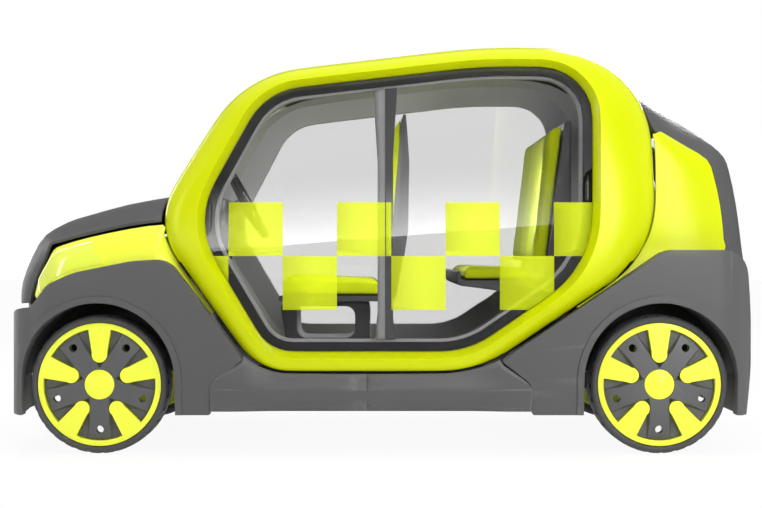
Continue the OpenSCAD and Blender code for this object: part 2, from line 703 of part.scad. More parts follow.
// Wheel seats: 1 or -1 for front or rear, 1 or -1 for left or right
module at_wheel(end, side) translate([end * axle_x, side * wheel_y, axle_z])
    mirror([0, side > 0 ? 0 : 1, 0]) rotate([-90, 0, 0]) children();
module tyre_fl() color(black) at_wheel(1, 1) tyre_local();
module tyre_fr() color(black) at_wheel(1, -1) tyre_local();
module tyre_rl() color(black) at_wheel(-1, 1) tyre_local();
module tyre_rr() color(black) at_wheel(-1, -1) tyre_local();
module wheel_fl() color(yellow) at_wheel(1, 1) wheel_local();
module wheel_fr() color(yellow) at_wheel(1, -1) wheel_local();
module wheel_rl() color(yellow) at_wheel(-1, 1) wheel_local();
module wheel_rr() color(yellow) at_wheel(-1, -1) wheel_local();
module cover_fl() color(dark) at_wheel(1, 1) cover_local();
module cover_fr() color(dark) at_wheel(1, -1) cover_local();
module cover_rl() color(dark) at_wheel(-1, 1) cover_local();
module cover_rr() color(dark) at_wheel(-1, -1) cover_local();

module door_loop_left() color(yellow) swept_ring([for (i = [0:STATIONS - 1]) loop_section(i)], true);
module door_loop_right() mirror([0, 1, 0]) door_loop_left();
module side_frame_left() color(dark) swept_ring([for (i = [0:STATIONS - 1]) frame_section(i)], false);
module side_frame_right() mirror([0, 1, 0]) side_frame_left();
// Door glass, flush with the loop: it covers the frame strip and the centre post behind it
glass_front = -return_d - 2;
glass_back = glass_front - glass_t;
pane_gap = 3;
pane_length = 1200;
module door_frames() color(dark) both_sides() on_side(-return_d - loop_wall + 0.8, glass_back - fit)
    difference() {
    polygon(inset_loop(return_w + fit));
    polygon(inset_loop(return_w + door_frame_w));
}
module door_glass() color(clear) both_sides() for (s = [-1, 1]) on_side(glass_back, glass_front)
    intersection() {
    polygon(inset_loop(return_w + fit));
    translate([pane_seam_x + s * (pane_gap + pane_length) / 2 - pane_length / 2, 0])
        square([pane_length, sheet_high]);
}
// Centre post behind the pane seam, wider at both ends: half width at the ends and in the middle, depth
post_end = 52;
post_half = 30;
post_depth = 60;
module centre_posts() color(dark) both_sides() on_side(-return_d - post_depth, glass_back - fit)
    intersection() {
    polygon(inset_loop(return_w + door_frame_w + 10 + fit));
    translate([pane_seam_x, 0]) polygon([[-post_end, sheet_low], [post_end, sheet_low], [post_half, 520],
        [post_half, 1150], [post_end, 1500], [-post_end, 1500], [-post_half, 1150], [-post_half, 520]]);
}

module windscreen() color(clear) spine_panel(3.6, 12.9, 12, 24 - screen_t - 2 * fit, screen_t,
    [6, screen_crown]);
// Line about which the tailgate lifts: x, z
tailgate_axis = [along(-988.5), 1441];
hinge_r = 8;
// Round bar along y on the tailgate's line, at each of its two hinges
module at_hinges() for (s = [-1, 1]) translate([tailgate_axis.x, s * hinge_half, tailgate_axis.y])
    children();
module bar(r, h) rotate([90, 0, 0]) cylinder(r = r, h = h, center = true);
module roof() color(dark) {
    difference() {
        spine_panel(13, 30.2, 8, 0, panel_t, [roof_crown, roof_crown + 6]);
        at_hinges() bar(hinge_r + 5, 46);
    }
    at_hinges() {
        bar(hinge_pin_r, 70);
        for (e = [-1, 1]) translate([0, e * 32, 0]) {
            bar(hinge_r, 16);
            rotate([0, -48, 0]) translate([0, -7, -11]) cube([28, 14, 9]);
        }
    }
}

// Rows across the bonnet: centre x, centre z, edge x, edge's inset from the body side, edge z, squareness
bonnet_rows = [[861, 1006, 837, 55, 899, 3], [1027, 977, 957, 55, 883, 3], [1189, 932, 1111, 60, 850, 3],
    [1271, 901, 1228, 70, 820, 3.5], [1345, 848, 1272, 85, 804, 4.5], [1394, 755, 1292, 100, 752, 7],
    [1426, 648, 1326, 115, 683, 9], [1431, 592, 1351, 129, 610, 9], [1430, 566, 1355, 134, 580, 9]];
// Rows across the tailgate, with the same columns
tailgate_rows = [[-996, 1440, -990, 268, 1424, 3], [-1112, 1372, -1052, 234, 1322, 4],
    [-1195, 1320, -1082, 206, 1248, 5], [-1275, 1266, -1137, 195, 1221, 6],
        [-1350, 1205, -1209, 185, 1178, 8],
    [-1386, 1152, -1282, 175, 1132, 10], [-1402, 1090, -1306, 164, 1074, 11],
        [-1420, 965, -1327, 148, 961, 13],
    [-1432, 850, -1335, 135, 860, 14], [-1438, 788, -1341, 127, 788, 14], [-1440, 740, -1347, 104, 740, 14],
    [-1441.5, 690, -1352, 92, 690, 14], [-1442, 640, -1355, 88, 640, 14]];
across = [-1, -0.97, -0.92, -0.84, -0.7, -0.5, -0.25, 0, 0.25, 0.5, 0.7, 0.84, 0.92, 0.97, 1];
function crossed(row) = [for (v = across) let (w = pow(abs(v), row[5]))
    [along(mix(row[0], row[2], w)), (side_half - row[3]) * v, mix(row[1], row[4], w)]];
function bonnet_grid() = [for (row = curve(bonnet_rows, 16)) crossed(row)];
function tailgate_grid() = [for (row = curve(tailgate_rows, 24)) crossed(row)];
function reversed(list) = [for (i = [len(list) - 1:-1:0]) list[i]];

module bonnet() color(dark) difference() {
    union() {
        slab(bonnet_grid(), thickened(bonnet_grid(), bonnet_t));
        for (s = [-1, 1]) translate([bonnet_axis.x, s * hinge_half, bonnet_axis.y]) {
            rotate([90, 0, 0]) cylinder(r = 7, h = 34, center = true);
            translate([-5, -17, 0]) cube([10, 34, 22]);
        }
    }
    for (s = [-1, 1]) translate([bonnet_axis.x, s * hinge_half, bonnet_axis.y]) rotate([90, 0, 0])
        cylinder(r = hinge_pin_r + pin_clear, h = 100, center = true);
}
// Window of the tailgate, drawn in by g
module tailgate_window(g) translate([-2000, 0, 0]) rotate([90, 0, 90]) linear_extrude(2000)
    polygon(outline([[480 - g, 905 + g, 60], [440 - g, 1290 - g, 60], [-440 + g, 1290 - g, 60],
        [-480 + g, 905 + g, 60]]));
module tailgate() color(dark) difference() {
    union() {
        difference() {
            slab(reversed(tailgate_grid()), thickened(reversed(tailgate_grid()), tailgate_t));
            at_hinges() bar(hinge_r + 5, 90);
        }
        at_hinges() {
            bar(hinge_r, 36);
            rotate([0, -28, 0]) translate([-32, -17, -7]) cube([32, 34, 9]);
        }
    }
    at_hinges() bar(hinge_pin_r + pin_clear, 100);
    tailgate_window(0);
}
module tailgate_glass() color(clear) intersection() {
    slab(thickened(reversed(tailgate_grid()), 4), thickened(reversed(tailgate_grid()), 9));
    tailgate_window(fit);
}

// Panel at the left side from rows of two ends: x, inset from the body side and z of each, bulging
// by b between
function end_panel(rows, b) = [for (r = curve(rows, 2 * (len(rows) - 1))) [for (j = [0:6]) let (t = j / 6)
    [mix(r[0], r[3], t), side_half - mix(r[1], r[4], t) + b * sin(180 * t), mix(r[2], r[5], t)]]];
function placed_rows(rows) = [for (r = rows) [along(r[0]), r[1], r[2], along(r[3]), r[4], r[5]]];
// Rows of the front side panel beside the loop: inset and z of the edge, x, inset and z of the
// lower end from there
edge_rows = [[76, 540, 30, 52, -22], [76, 600, 30, 50, -22], [74, 674, 30, 46, -24], [70, 745, 28, 38, -30],
    [66, 810, 32, 30, -78], [63, 845, 34, 26, -114], [61, 876, 36, 22, -146]];
// Rows of the front side panel along the bonnet: upper end, lower end
side_rows = concat([for (r = edge_rows) let (x = beside(r[1], 1)) [x, r[0], r[1], x + r[2], r[3],
    r[1] + r[4]]],
    placed_rows([[957, 58, 860, 932, 18, 730], [1111, 63, 828, 1041, 16, 708],
        [1218, 73, 798, 1155, 22, 686],
        [1256, 87, 779, 1228, 34, 656], [1282, 102, 736, 1272, 52, 626], [1317, 117, 676, 1300, 74, 608],
        [1338, 130, 606, 1318, 98, 585]]));
function side_grid() = end_panel(side_rows, 10);
module front_side_panels() color(yellow) both_sides() difference() {
    slab(side_grid(), thickened(side_grid(), bonnet_t));
    along_y(floor_half - 30, half_width + 30) polygon(grown(outline(front_fender_corners), fit));
}
// Rows and columns of the side panel that the headlamp's lens covers
lamp_rows = [16:24];
lamp_columns = [1:5];
function lamp_grid() = [for (i = lamp_rows) [for (j = lamp_columns) side_grid()[i][j]]];
module headlamps() color(clear) both_sides() slab(thickened(lamp_grid(), -4), thickened(lamp_grid(), -0.3));

// Rows of the rear quarter panel: inset and z of the edge beside the loop, x, inset and z of the rear end
quarter_rows = [for (r = [[164, 1228, -1096, 186, 1234], [150, 1190, -1200, 176, 1172],
    [138, 1140, -1274, 166, 1126],
        [126, 1075, -1297, 155, 1068], [110, 960, -1318, 139, 960], [102, 880, -1327, 127, 870],
        [100, 825, -1330, 123, 820], [98, 770, -1333, 119, 770], [88, 735, -1240, 110, 725],
            [78, 700, -1140, 100, 680],
        [72, 670, -1070, 93, 640], [66, 640, -1000, 86, 600], [64, 600, -910, 80, 560],
            [62, 560, -820, 76, 520]])
    [beside(r[1], -1), r[0], r[1], along(r[2]), r[3], r[4]]];
function quarter_grid() = end_panel(quarter_rows, 8);
module quarter_panels() color(yellow) both_sides() difference() {
    slab(reversed(quarter_grid()), thickened(reversed(quarter_grid()), bonnet_t));
    along_y(floor_half - ledge_w - 100, half_width + 30)
        polygon(grown(outline(rear_corners(bumper_top_r)), fit));
}

// Dashboard against the bulkhead: place of its face, its back, underside and top
dash_face = pan_end - 119;
dash_back = pan_end - wall_t - fit;
dash_low = 720;
dash_top = 1006;
function dash_outline() = outline([[dash_back, dash_low, 4], [dash_back, dash_top, 12],
    [dash_face, dash_top, 40],
    [dash_face + 12, 840, 60], [dash_face + 60, dash_low, 20]]);
module dashboard() color(black) along_y(-wall_half + 10, wall_half - 10) polygon(dash_outline());

// Middle of the steering wheel: x, z
wheel_mid = [dash_face - 65, 990];
column_r = 24;
shaft_r = 9;
module on_column() translate([wheel_mid.x, 0, wheel_mid.y]) rotate([0, column_tilt - 90, 0]) children();
module steering_column() color(black) difference() {
    on_column() {
        translate([0, 0, -160]) cylinder(r = column_r, h = 130);
        translate([0, 0, -60]) cylinder(r = shaft_r, h = 55);
    }
    along_y(-100, 100) polygon(grown(dash_outline(), -fit));
}
module steering_wheel() color(black) on_column() {
    rotate_extrude() translate([wheel_rim_r, 0]) circle(14);
    difference() {
        translate([0, 0, -24]) cylinder(r = 42, h = 34);
        translate([0, 0, -30]) cylinder(r = shaft_r + pin_clear, h = 26);
    }
    for (a = [0, 120, 240]) rotate(a) translate([30, -16, -16]) cube([wheel_rim_r - 34, 32, 16]);
}

// Driver's seat in the middle of the cabin: height of its base, underside of the cushion, places
// from its front edge
seat_front = dash_face - knee_room;
seat_base_z = 566;
seat_pan_z = 590;
module seat_part(half) translate([seat_front, 0, 0]) along_y(-half, half) children();
module driver_seat_base() color(black) seat_part(driver_half - 50) difference() {
    polygon(outline([[-381, floor_z + fit, 20], [-41, floor_z + fit, 20], [-1, seat_base_z, 30],
        [-381, seat_base_z, 30]]));
    polygon(outline([[-318, 413, 40], [-76, 413, 40], [-76, 545, 20], [-318, 545, 40]]));
}
// Section of the driver's seat shell
function seat_section() = outline([[0, seat_base_z + fit, 10], [0, seat_pan_z, 10], [-470, seat_pan_z, 40],
    [-508, 900, 600], [-517, 1340, 6], [-531, 1352, 6], [-545, 1150, 400], [-540, 860, 400],
    [-496, seat_base_z + fit, 40]]);
// Wings of the shell beside the back pad
wing_t = 18;
wing_in = 2;
module driver_seat_shell() color(dark) {
    seat_part(driver_half) polygon(seat_section());
    both_sides() translate([seat_front, 0, 0]) along_y(driver_half - wing_in - wing_t,
        driver_half - wing_in)
        polygon(outline([[-488, 640, 8], [-462, 700, 20], [-482, 973, 300], [-512, 1330, 5],
            [-523, 1330, 5],
            [-529, 1150, 300], [-525, 860, 300]]));
}
module driver_seat_pads() color(yellow) {
    seat_part(driver_half - 10)
        polygon(outline([[-428, seat_pan_z + fit, 8], [-6, seat_pan_z + fit, 8], [-6, 669, 34],
            [-446, 652, 25]]));
    seat_part(driver_half - wing_in - wing_t - 1) difference() {
        polygon(outline([[-500, 668, 8], [-446, 668, 20], [-473, 973, 400], [-504, 1336, 6],
            [-522, 1336, 4]]));
        polygon(grown(seat_section(), -fit));
    }
}

// Bench for the passengers against the rear tub: top of its shell, places from the tub
bench_back = -pan_end;
bench_pan_z = 661;
module bench_part(half) translate([bench_back, 0, 0]) along_y(-half, half) children();
module bench_shell() color(dark) bench_part(bench_half)
    polygon(outline([[453, 640, 20], [453, 696, 6], [438, 696, 6],
    [436, bench_pan_z - fit, 4], [109, bench_pan_z - fit, 40], [26, 1290, 10], [0, 1290, 8], [0, 602, 10],
        [159, 602, 20]]));
module bench_pads() color(yellow) bench_part(bench_half - 10) {
    polygon(outline([[151, bench_pan_z, 8], [433, bench_pan_z, 6], [433, 709, 16], [155, 700, 20]]));
    polygon(outline([[101.8, 720, 8], [144, 720, 20], [71, 1280, 18], [27.8, 1280, 8]]));
}

floor_pan();
front_tub();
bulkhead();
rear_tub();
battery_pack();
drive_motor();
front_axle();
rear_axle();
front_bumper();
rear_bumper();
front_fenders();
rear_fenders();
sills();
arch_liners();
bonnet();
front_side_panels();
headlamps();
windscreen();
roof();
door_loop_left();
door_loop_right();
side_frame_left();
side_frame_right();
door_frames();
door_glass();
centre_posts();
quarter_panels();
tailgate();
tailgate_glass();
tail_lamps();
dashboard();
steering_column();
steering_wheel();
driver_seat_base();
driver_seat_shell();
driver_seat_pads();
bench_shell();
bench_pads();
knuckle_left();
knuckle_right();
tyre_fl();
tyre_fr();
tyre_rl();
tyre_rr();
wheel_fl();
wheel_fr();
wheel_rl();
wheel_rr();
cover_fl();
cover_fr();
cover_rl();
cover_rr();
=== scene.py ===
# %% [markdown]
# # A small electric city taxi
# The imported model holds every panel, wheel and seat at its real size and place. This lesson dresses it: it
# smooths the pressed panels, gives each material its own grain and gloss, and adds the soft seats, the tyre
# tread, the window film and the small trim. Lengths are metres, +X is forward, +Y is left, +Z is up.

# %% Load the frame
import json
import math

import bmesh
import bpy
from mathutils import Matrix, Vector

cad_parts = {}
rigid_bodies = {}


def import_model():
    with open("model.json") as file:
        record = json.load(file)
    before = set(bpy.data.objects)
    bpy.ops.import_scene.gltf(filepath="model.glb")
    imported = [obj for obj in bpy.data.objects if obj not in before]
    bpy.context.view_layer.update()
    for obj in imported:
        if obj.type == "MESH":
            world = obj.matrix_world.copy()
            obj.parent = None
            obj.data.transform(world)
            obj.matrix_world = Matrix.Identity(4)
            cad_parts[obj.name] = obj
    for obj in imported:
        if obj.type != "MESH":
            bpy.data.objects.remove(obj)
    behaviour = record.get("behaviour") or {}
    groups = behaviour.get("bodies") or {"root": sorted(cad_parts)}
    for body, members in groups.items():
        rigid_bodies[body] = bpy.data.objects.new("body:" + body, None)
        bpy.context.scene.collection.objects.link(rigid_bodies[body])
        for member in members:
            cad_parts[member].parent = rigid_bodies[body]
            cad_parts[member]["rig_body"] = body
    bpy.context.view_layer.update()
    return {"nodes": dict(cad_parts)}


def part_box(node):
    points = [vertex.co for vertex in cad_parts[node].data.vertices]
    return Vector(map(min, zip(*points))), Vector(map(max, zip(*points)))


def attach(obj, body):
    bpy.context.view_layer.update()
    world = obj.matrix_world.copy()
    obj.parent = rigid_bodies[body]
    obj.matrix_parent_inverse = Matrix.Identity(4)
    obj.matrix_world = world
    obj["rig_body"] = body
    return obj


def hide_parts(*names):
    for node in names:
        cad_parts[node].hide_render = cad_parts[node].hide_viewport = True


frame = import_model()
nodes = frame["nodes"]
scene = bpy.context.scene
scene.view_settings.view_transform = "Standard"

# %% [markdown]
# The camera stands level on the left side of the car, a few lengths away. Its place and focal length were
# worked out from the near and the far window frames, so it needs no aiming: it looks straight across.

# %% Camera
PHOTO_WIDTH = 762
FOCAL_PIXELS = 1576
SENSOR = 36.0
EYE = Vector((-0.006, 6.780, 0.764))
camera_data = bpy.data.cameras.new("camera")
camera_data.sensor_width = SENSOR
camera_data.lens = FOCAL_PIXELS / PHOTO_WIDTH * SENSOR
camera = bpy.data.objects.new("camera", camera_data)
camera.location = EYE
camera.rotation_euler = (math.radians(90), 0, math.radians(180))
scene.collection.objects.link(camera)
scene.camera = camera
print("camera: lens", round(camera_data.lens, 1), "mm")

# %% [markdown]
# A studio picture has a white ground and light from big soft boxes. The floor is a pale plane that keeps
# the car's shadow. The world shows plain white to the camera, to reflections and through glass, and lights
# the car more weakly than that, so the boxes overhead and in front still shape the panels.

# %% Stage, world and lamps
FLOOR_HALF = 40.0
FILL_LIGHT = 0.56
FLOOR_GLOW = 0.93
CABIN_LIGHT = 5.0


def linear(red, green, blue):
    """A colour written in screen values from 0 to 255, as the linear colour that shaders take."""
    def channel(value):
        share = value / 255
        return share / 12.92 if share <= 0.04045 else ((share + 0.055) / 1.055) ** 2.4
    return (channel(red), channel(green), channel(blue), 1.0)


def link_object(name, bm):
    """A new object from a bmesh, which is then freed."""
    mesh = bpy.data.meshes.new(name)
    bm.to_mesh(mesh)
    bm.free()
    piece = bpy.data.objects.new(name, mesh)
    scene.collection.objects.link(piece)
    return piece


def seen_share(tree):
    """Light Path value that is 1 for what the camera sees, directly, in a reflection or through glass."""
    path = tree.nodes.new("ShaderNodeLightPath")
    first = tree.nodes.new("ShaderNodeMath")
    second = tree.nodes.new("ShaderNodeMath")
    second.use_clamp = True
    tree.links.new(path.outputs["Is Camera Ray"], first.inputs[0])
    tree.links.new(path.outputs["Is Glossy Ray"], first.inputs[1])
    tree.links.new(first.outputs[0], second.inputs[0])
    tree.links.new(path.outputs["Is Transmission Ray"], second.inputs[1])
    return second.outputs[0]


world = bpy.data.worlds.new("studio")
scene.world = world
world.use_nodes = True
tree = world.node_tree
tree.nodes.clear()
fill = tree.nodes.new("ShaderNodeBackground")
fill.inputs["Strength"].default_value = FILL_LIGHT
shown = tree.nodes.new("ShaderNodeBackground")
for background in (fill, shown):
    background.inputs["Color"].default_value = (1, 1, 1, 1)
blend = tree.nodes.new("ShaderNodeMixShader")
tree.links.new(seen_share(tree), blend.inputs[0])
tree.links.new(fill.outputs[0], blend.inputs[1])
tree.links.new(shown.outputs[0], blend.inputs[2])
tree.links.new(blend.outputs[0], tree.nodes.new("ShaderNodeOutputWorld").inputs[0])

bm = bmesh.new()
bmesh.ops.create_grid(bm, x_segments=1, y_segments=1, size=FLOOR_HALF)
floor = link_object("floor", bm)
floor_material = bpy.data.materials.new("pale_floor")
floor_material.use_nodes = True
tree = floor_material.node_tree
glow = tree.nodes.new("ShaderNodeEmission")
tree.nodes["Principled BSDF"].inputs["Base Color"].default_value = (1, 1, 1, 1)
tree.nodes["Principled BSDF"].inputs["Roughness"].default_value = 0.9
scaled = tree.nodes.new("ShaderNodeMath")
scaled.operation = "MULTIPLY"
scaled.inputs[1].default_value = FLOOR_GLOW
blend = tree.nodes.new("ShaderNodeMixShader")
tree.links.new(seen_share(tree), scaled.inputs[0])
tree.links.new(scaled.outputs[0], blend.inputs[0])
tree.links.new(tree.nodes["Principled BSDF"].outputs[0], blend.inputs[1])
tree.links.new(glow.outputs[0], blend.inputs[2])
tree.links.new(blend.outputs[0], tree.nodes["Material Output"].inputs[0])
floor.data.materials.append(floor_material)


def soft_box(name, place, target, width, height, power):
    """A rectangular area lamp at place that faces target."""
    lamp = bpy.data.lights.new(name, "AREA")
    lamp.shape = "RECTANGLE"
    lamp.size = width
    lamp.size_y = height
    lamp.energy = power
    box = bpy.data.objects.new(name, lamp)
    box.location = place
    box.rotation_euler = (Vector(target) - Vector(place)).to_track_quat("-Z", "Y").to_euler()
    box.visible_camera = False
    box.visible_glossy = False
    box.visible_transmission = False
    scene.collection.objects.link(box)


soft_box("overhead_box", (0.2, 0.6, 4.6), (0, 0, 0.5), 5.0, 3.0, 120)
soft_box("near_side_box", (-3.6, 4.6, 2.0), (-0.9, 0, 0.7), 2.4, 2.4, 120)
soft_box("far_side_box", (1.0, -6.0, 3.6), (0, 0, 0.7), 4.0, 2.0, 100)
soft_box("front_low_box", (3.4, 4.6, 0.9), (0.8, 0.6, 0.5), 1.6, 1.2, 30)
soft_box("cabin_box", (-0.1, 0.45, 1.0), (-0.1, -0.7, 0.8), 1.1, 0.3, CABIN_LIGHT)
print("stage: floor, world and", len(bpy.data.lights), "soft boxes")

# %% [markdown]
# Glass and paint also mirror the room. A photographer hangs a dark flag beside a car, with one bright band
# whose straight lower edge draws a slanting line of light over the windows. A soft patch further back gives
# the rear of the loop its sheen, and one in front gives the lamp a glint. Each flag is a sheet that runs
# along the floor and up. It shows only to rays that were mirrored on their way, and is clear to all others.
# There is one for each side, so that both sides look alike.

# %% Flags that the glass mirrors
FLAG_HALF = 14.0
FLAG_NEAR = 1.5
FLAG_FAR = 8.0
FLAG_TOP = 8.5
FLAG_LIFT = 0.004
BAND_EDGE = 1.765
BAND_SLOPE = 0.2515
BAND_DEPTH = 1.9
BAND_STRENGTH = 6.5
BAND_FALL = 1.7
BAND_BACK = (-1.9, -0.6)
SHEEN_STRENGTH = 24.0
SHEEN_HEIGHTS = (-0.6, 2.6)
SHEEN_RANGE = (-4.8, -3.6, -2.9, -2.2)
GLINT_RANGE = (8.6, 10.4, 12.0, 13.6)
GLINT_SHARE = 0.55
FLAG_STRENGTH = 0.04


def ramp(tree, value, start, end):
    """A smooth step from 0 at start to 1 at end."""
    node = tree.nodes.new("ShaderNodeMapRange")
    node.interpolation_type = "SMOOTHSTEP"
    node.inputs["From Min"].default_value = min(start, end)
    node.inputs["From Max"].default_value = max(start, end)
    node.inputs["To Min"].default_value = 0.0 if start < end else 1.0
    node.inputs["To Max"].default_value = 1.0 if start < end else 0.0
    tree.links.new(value, node.inputs["Value"])
    return node.outputs[0]


def times(tree, first, second):
    """The product of two values."""
    node = tree.nodes.new("ShaderNodeMath")
    node.operation = "MULTIPLY"
    tree.links.new(first, node.inputs[0])
    tree.links.new(second, node.inputs[1])
    return node.outputs[0]


def flag_material():
    """Light that starts at a slanting line and fades upwards, on an otherwise dark sheet."""
    material = bpy.data.materials.new("reflection_flag")
    material.use_nodes = True
    tree = material.node_tree
    tree.nodes.clear()
    spot = tree.nodes.new("ShaderNodeSeparateXYZ")
    tree.links.new(tree.nodes.new("ShaderNodeTexCoord").outputs["Object"], spot.inputs[0])
    height = tree.nodes.new("ShaderNodeMath")
    height.operation = "MULTIPLY_ADD"
    height.inputs[1].default_value = BAND_SLOPE
    tree.links.new(spot.outputs["X"], height.inputs[0])
    tree.links.new(spot.outputs["Z"], height.inputs[2])
    fade = tree.nodes.new("ShaderNodeMapRange")
    fade.inputs["From Min"].default_value = BAND_EDGE
    fade.inputs["From Max"].default_value = BAND_EDGE + BAND_DEPTH
    fade.inputs["To Min"].default_value = 1.0
    fade.inputs["To Max"].default_value = 0.0
    fall = tree.nodes.new("ShaderNodeMath")
    fall.operation = "POWER"
    fall.inputs[1].default_value = BAND_FALL
    above = tree.nodes.new("ShaderNodeMath")
    above.operation = "GREATER_THAN"
    above.inputs[1].default_value = BAND_EDGE
    strength = tree.nodes.new("ShaderNodeMath")
    strength.operation = "MULTIPLY_ADD"
    strength.inputs[1].default_value = BAND_STRENGTH
    strength.inputs[2].default_value = FLAG_STRENGTH
    tree.links.new(height.outputs[0], fade.inputs["Value"])
    tree.links.new(height.outputs[0], above.inputs[0])
    tree.links.new(fade.outputs[0], fall.inputs[0])
    band = times(tree, fall.outputs[0], above.outputs[0])
    tree.links.new(times(tree, band, ramp(tree, spot.outputs["X"], *BAND_BACK)), strength.inputs[0])
    windows = []
    for back_end, back_full, front_full, front_end in (SHEEN_RANGE, GLINT_RANGE):
        rise = ramp(tree, spot.outputs["X"], back_end, back_full)
        windows.append(times(tree, rise, ramp(tree, spot.outputs["X"], front_end, front_full)))
    window = tree.nodes.new("ShaderNodeMath")
    window.operation = "MULTIPLY_ADD"
    window.inputs[1].default_value = GLINT_SHARE
    tree.links.new(windows[1], window.inputs[0])
    tree.links.new(windows[0], window.inputs[2])
    sheen = tree.nodes.new("ShaderNodeMath")
    sheen.operation = "MULTIPLY_ADD"
    sheen.inputs[1].default_value = SHEEN_STRENGTH
    upwards = ramp(tree, spot.outputs["Z"], *SHEEN_HEIGHTS)
    tree.links.new(times(tree, window.outputs[0], upwards), sheen.inputs[0])
    tree.links.new(strength.outputs[0], sheen.inputs[2])
    glow = tree.nodes.new("ShaderNodeEmission")
    tree.links.new(sheen.outputs[0], glow.inputs["Strength"])
    mirrored = tree.nodes.new("ShaderNodeMath")
    mirrored.operation = "GREATER_THAN"
    mirrored.inputs[1].default_value = 0.5
    tree.links.new(tree.nodes.new("ShaderNodeLightPath").outputs["Glossy Depth"], mirrored.inputs[0])
    blend = tree.nodes.new("ShaderNodeMixShader")
    tree.links.new(mirrored.outputs[0], blend.inputs[0])
    tree.links.new(tree.nodes.new("ShaderNodeBsdfTransparent").outputs[0], blend.inputs[1])
    tree.links.new(glow.outputs[0], blend.inputs[2])
    tree.links.new(blend.outputs[0], tree.nodes.new("ShaderNodeOutputMaterial").inputs[0])
    return material


FLAG = flag_material()


def flag(name, side):
    """A sheet along the floor and up beside the car, for reflections only."""
    bm = bmesh.new()
    path = ((FLAG_NEAR, FLAG_LIFT), (FLAG_FAR, FLAG_LIFT), (FLAG_FAR, FLAG_TOP))
    rail = [bm.verts.new((-FLAG_HALF, side * y, z)) for y, z in path]
    edges = [bm.edges.new(pair) for pair in zip(rail, rail[1:])]
    swept = bmesh.ops.extrude_edge_only(bm, edges=edges)["geom"]
    ends = [g for g in swept if isinstance(g, bmesh.types.BMVert)]
    bmesh.ops.translate(bm, verts=ends, vec=(2 * FLAG_HALF, 0, 0))
    sheet = link_object(name, bm)
    sheet.data.materials.append(FLAG)
    sheet.visible_camera = False
    sheet.visible_diffuse = False
    sheet.visible_shadow = False


flag("flag_left", 1)
flag("flag_right", -1)
print("flags: band from", BAND_EDGE, "m, slope", BAND_SLOPE)

# %% [markdown]
# Paint, moulded plastic and rubber share three effects: a slow change of tone over a panel, a fine grain
# that breaks up highlights, and a lighter wear along edges. Each effect is a node group, built once.

# %% Shared shader groups
def new_group(name, inputs, outputs):
    """An empty shader node group with named sockets: (name, kind, default value) for each input."""
    group = bpy.data.node_groups.new(name, "ShaderNodeTree")
    for label, kind, value in inputs:
        socket = group.interface.new_socket(label, in_out="INPUT", socket_type="NodeSocket" + kind)
        if value is not None:
            socket.default_value = value
    for label, kind in outputs:
        group.interface.new_socket(label, in_out="OUTPUT", socket_type="NodeSocket" + kind)
    return group, group.nodes.new("NodeGroupInput"), group.nodes.new("NodeGroupOutput")


def tone_group():
    """Colour that grows a little lighter and darker over a panel."""
    group, start, end = new_group(
        "panel_tone",
        [
            ("Color", "Color", None), ("Vector", "Vector", None),
            ("Scale", "Float", 3.0), ("Amount", "Float", 0.06),
        ],
        [("Color", "Color")])
    noise = group.nodes.new("ShaderNodeTexNoise")
    noise.inputs["Detail"].default_value = 3
    centred = group.nodes.new("ShaderNodeMath")
    centred.operation = "SUBTRACT"
    centred.inputs[1].default_value = 0.5
    swing = group.nodes.new("ShaderNodeMath")
    swing.operation = "MULTIPLY_ADD"
    swing.inputs[2].default_value = 1.0
    shade = group.nodes.new("ShaderNodeHueSaturation")
    group.links.new(start.outputs["Vector"], noise.inputs["Vector"])
    group.links.new(start.outputs["Scale"], noise.inputs["Scale"])
    group.links.new(noise.outputs["Fac"], centred.inputs[0])
    group.links.new(centred.outputs[0], swing.inputs[0])
    group.links.new(start.outputs["Amount"], swing.inputs[1])
    group.links.new(swing.outputs[0], shade.inputs["Value"])
    group.links.new(start.outputs["Color"], shade.inputs["Color"])
    group.links.new(shade.outputs[0], end.inputs["Color"])
    return group


def grain_group():
    """Height of a fine moulded grain: round pits under a softer noise."""
    group, start, end = new_group(
        "fine_grain", [("Vector", "Vector", None), ("Scale", "Float", 900.0)], [("Height", "Float")])
    pits = group.nodes.new("ShaderNodeTexVoronoi")
    pits.feature = "SMOOTH_F1"
    noise = group.nodes.new("ShaderNodeTexNoise")
    noise.inputs["Detail"].default_value = 4
    total = group.nodes.new("ShaderNodeMath")
    for texture in (pits, noise):
        group.links.new(start.outputs["Vector"], texture.inputs["Vector"])
        group.links.new(start.outputs["Scale"], texture.inputs["Scale"])
    group.links.new(pits.outputs["Distance"], total.inputs[0])
    group.links.new(noise.outputs["Fac"], total.inputs[1])
    group.links.new(total.outputs[0], end.inputs["Height"])
    return group


def wear_group():
    """Mask of convex edges, broken up by noise, where a finish is rubbed lighter."""
    group, start, end = new_group("edge_wear", [("Vector", "Vector", None)], [("Mask", "Float")])
    geometry = group.nodes.new("ShaderNodeNewGeometry")
    edges = group.nodes.new("ShaderNodeMapRange")
    edges.inputs["From Min"].default_value = 0.52
    edges.inputs["From Max"].default_value = 0.64
    noise = group.nodes.new("ShaderNodeTexNoise")
    noise.inputs["Scale"].default_value = 60
    product = group.nodes.new("ShaderNodeMath")
    product.operation = "MULTIPLY"
    group.links.new(start.outputs["Vector"], noise.inputs["Vector"])
    group.links.new(geometry.outputs["Pointiness"], edges.inputs["Value"])
    group.links.new(edges.outputs[0], product.inputs[0])
    group.links.new(noise.outputs["Fac"], product.inputs[1])
    group.links.new(product.outputs[0], end.inputs["Mask"])
    return group


PANEL_TONE = tone_group()
FINE_GRAIN = grain_group()
EDGE_WEAR = wear_group()
print("groups:", PANEL_TONE.name, FINE_GRAIN.name, EDGE_WEAR.name)
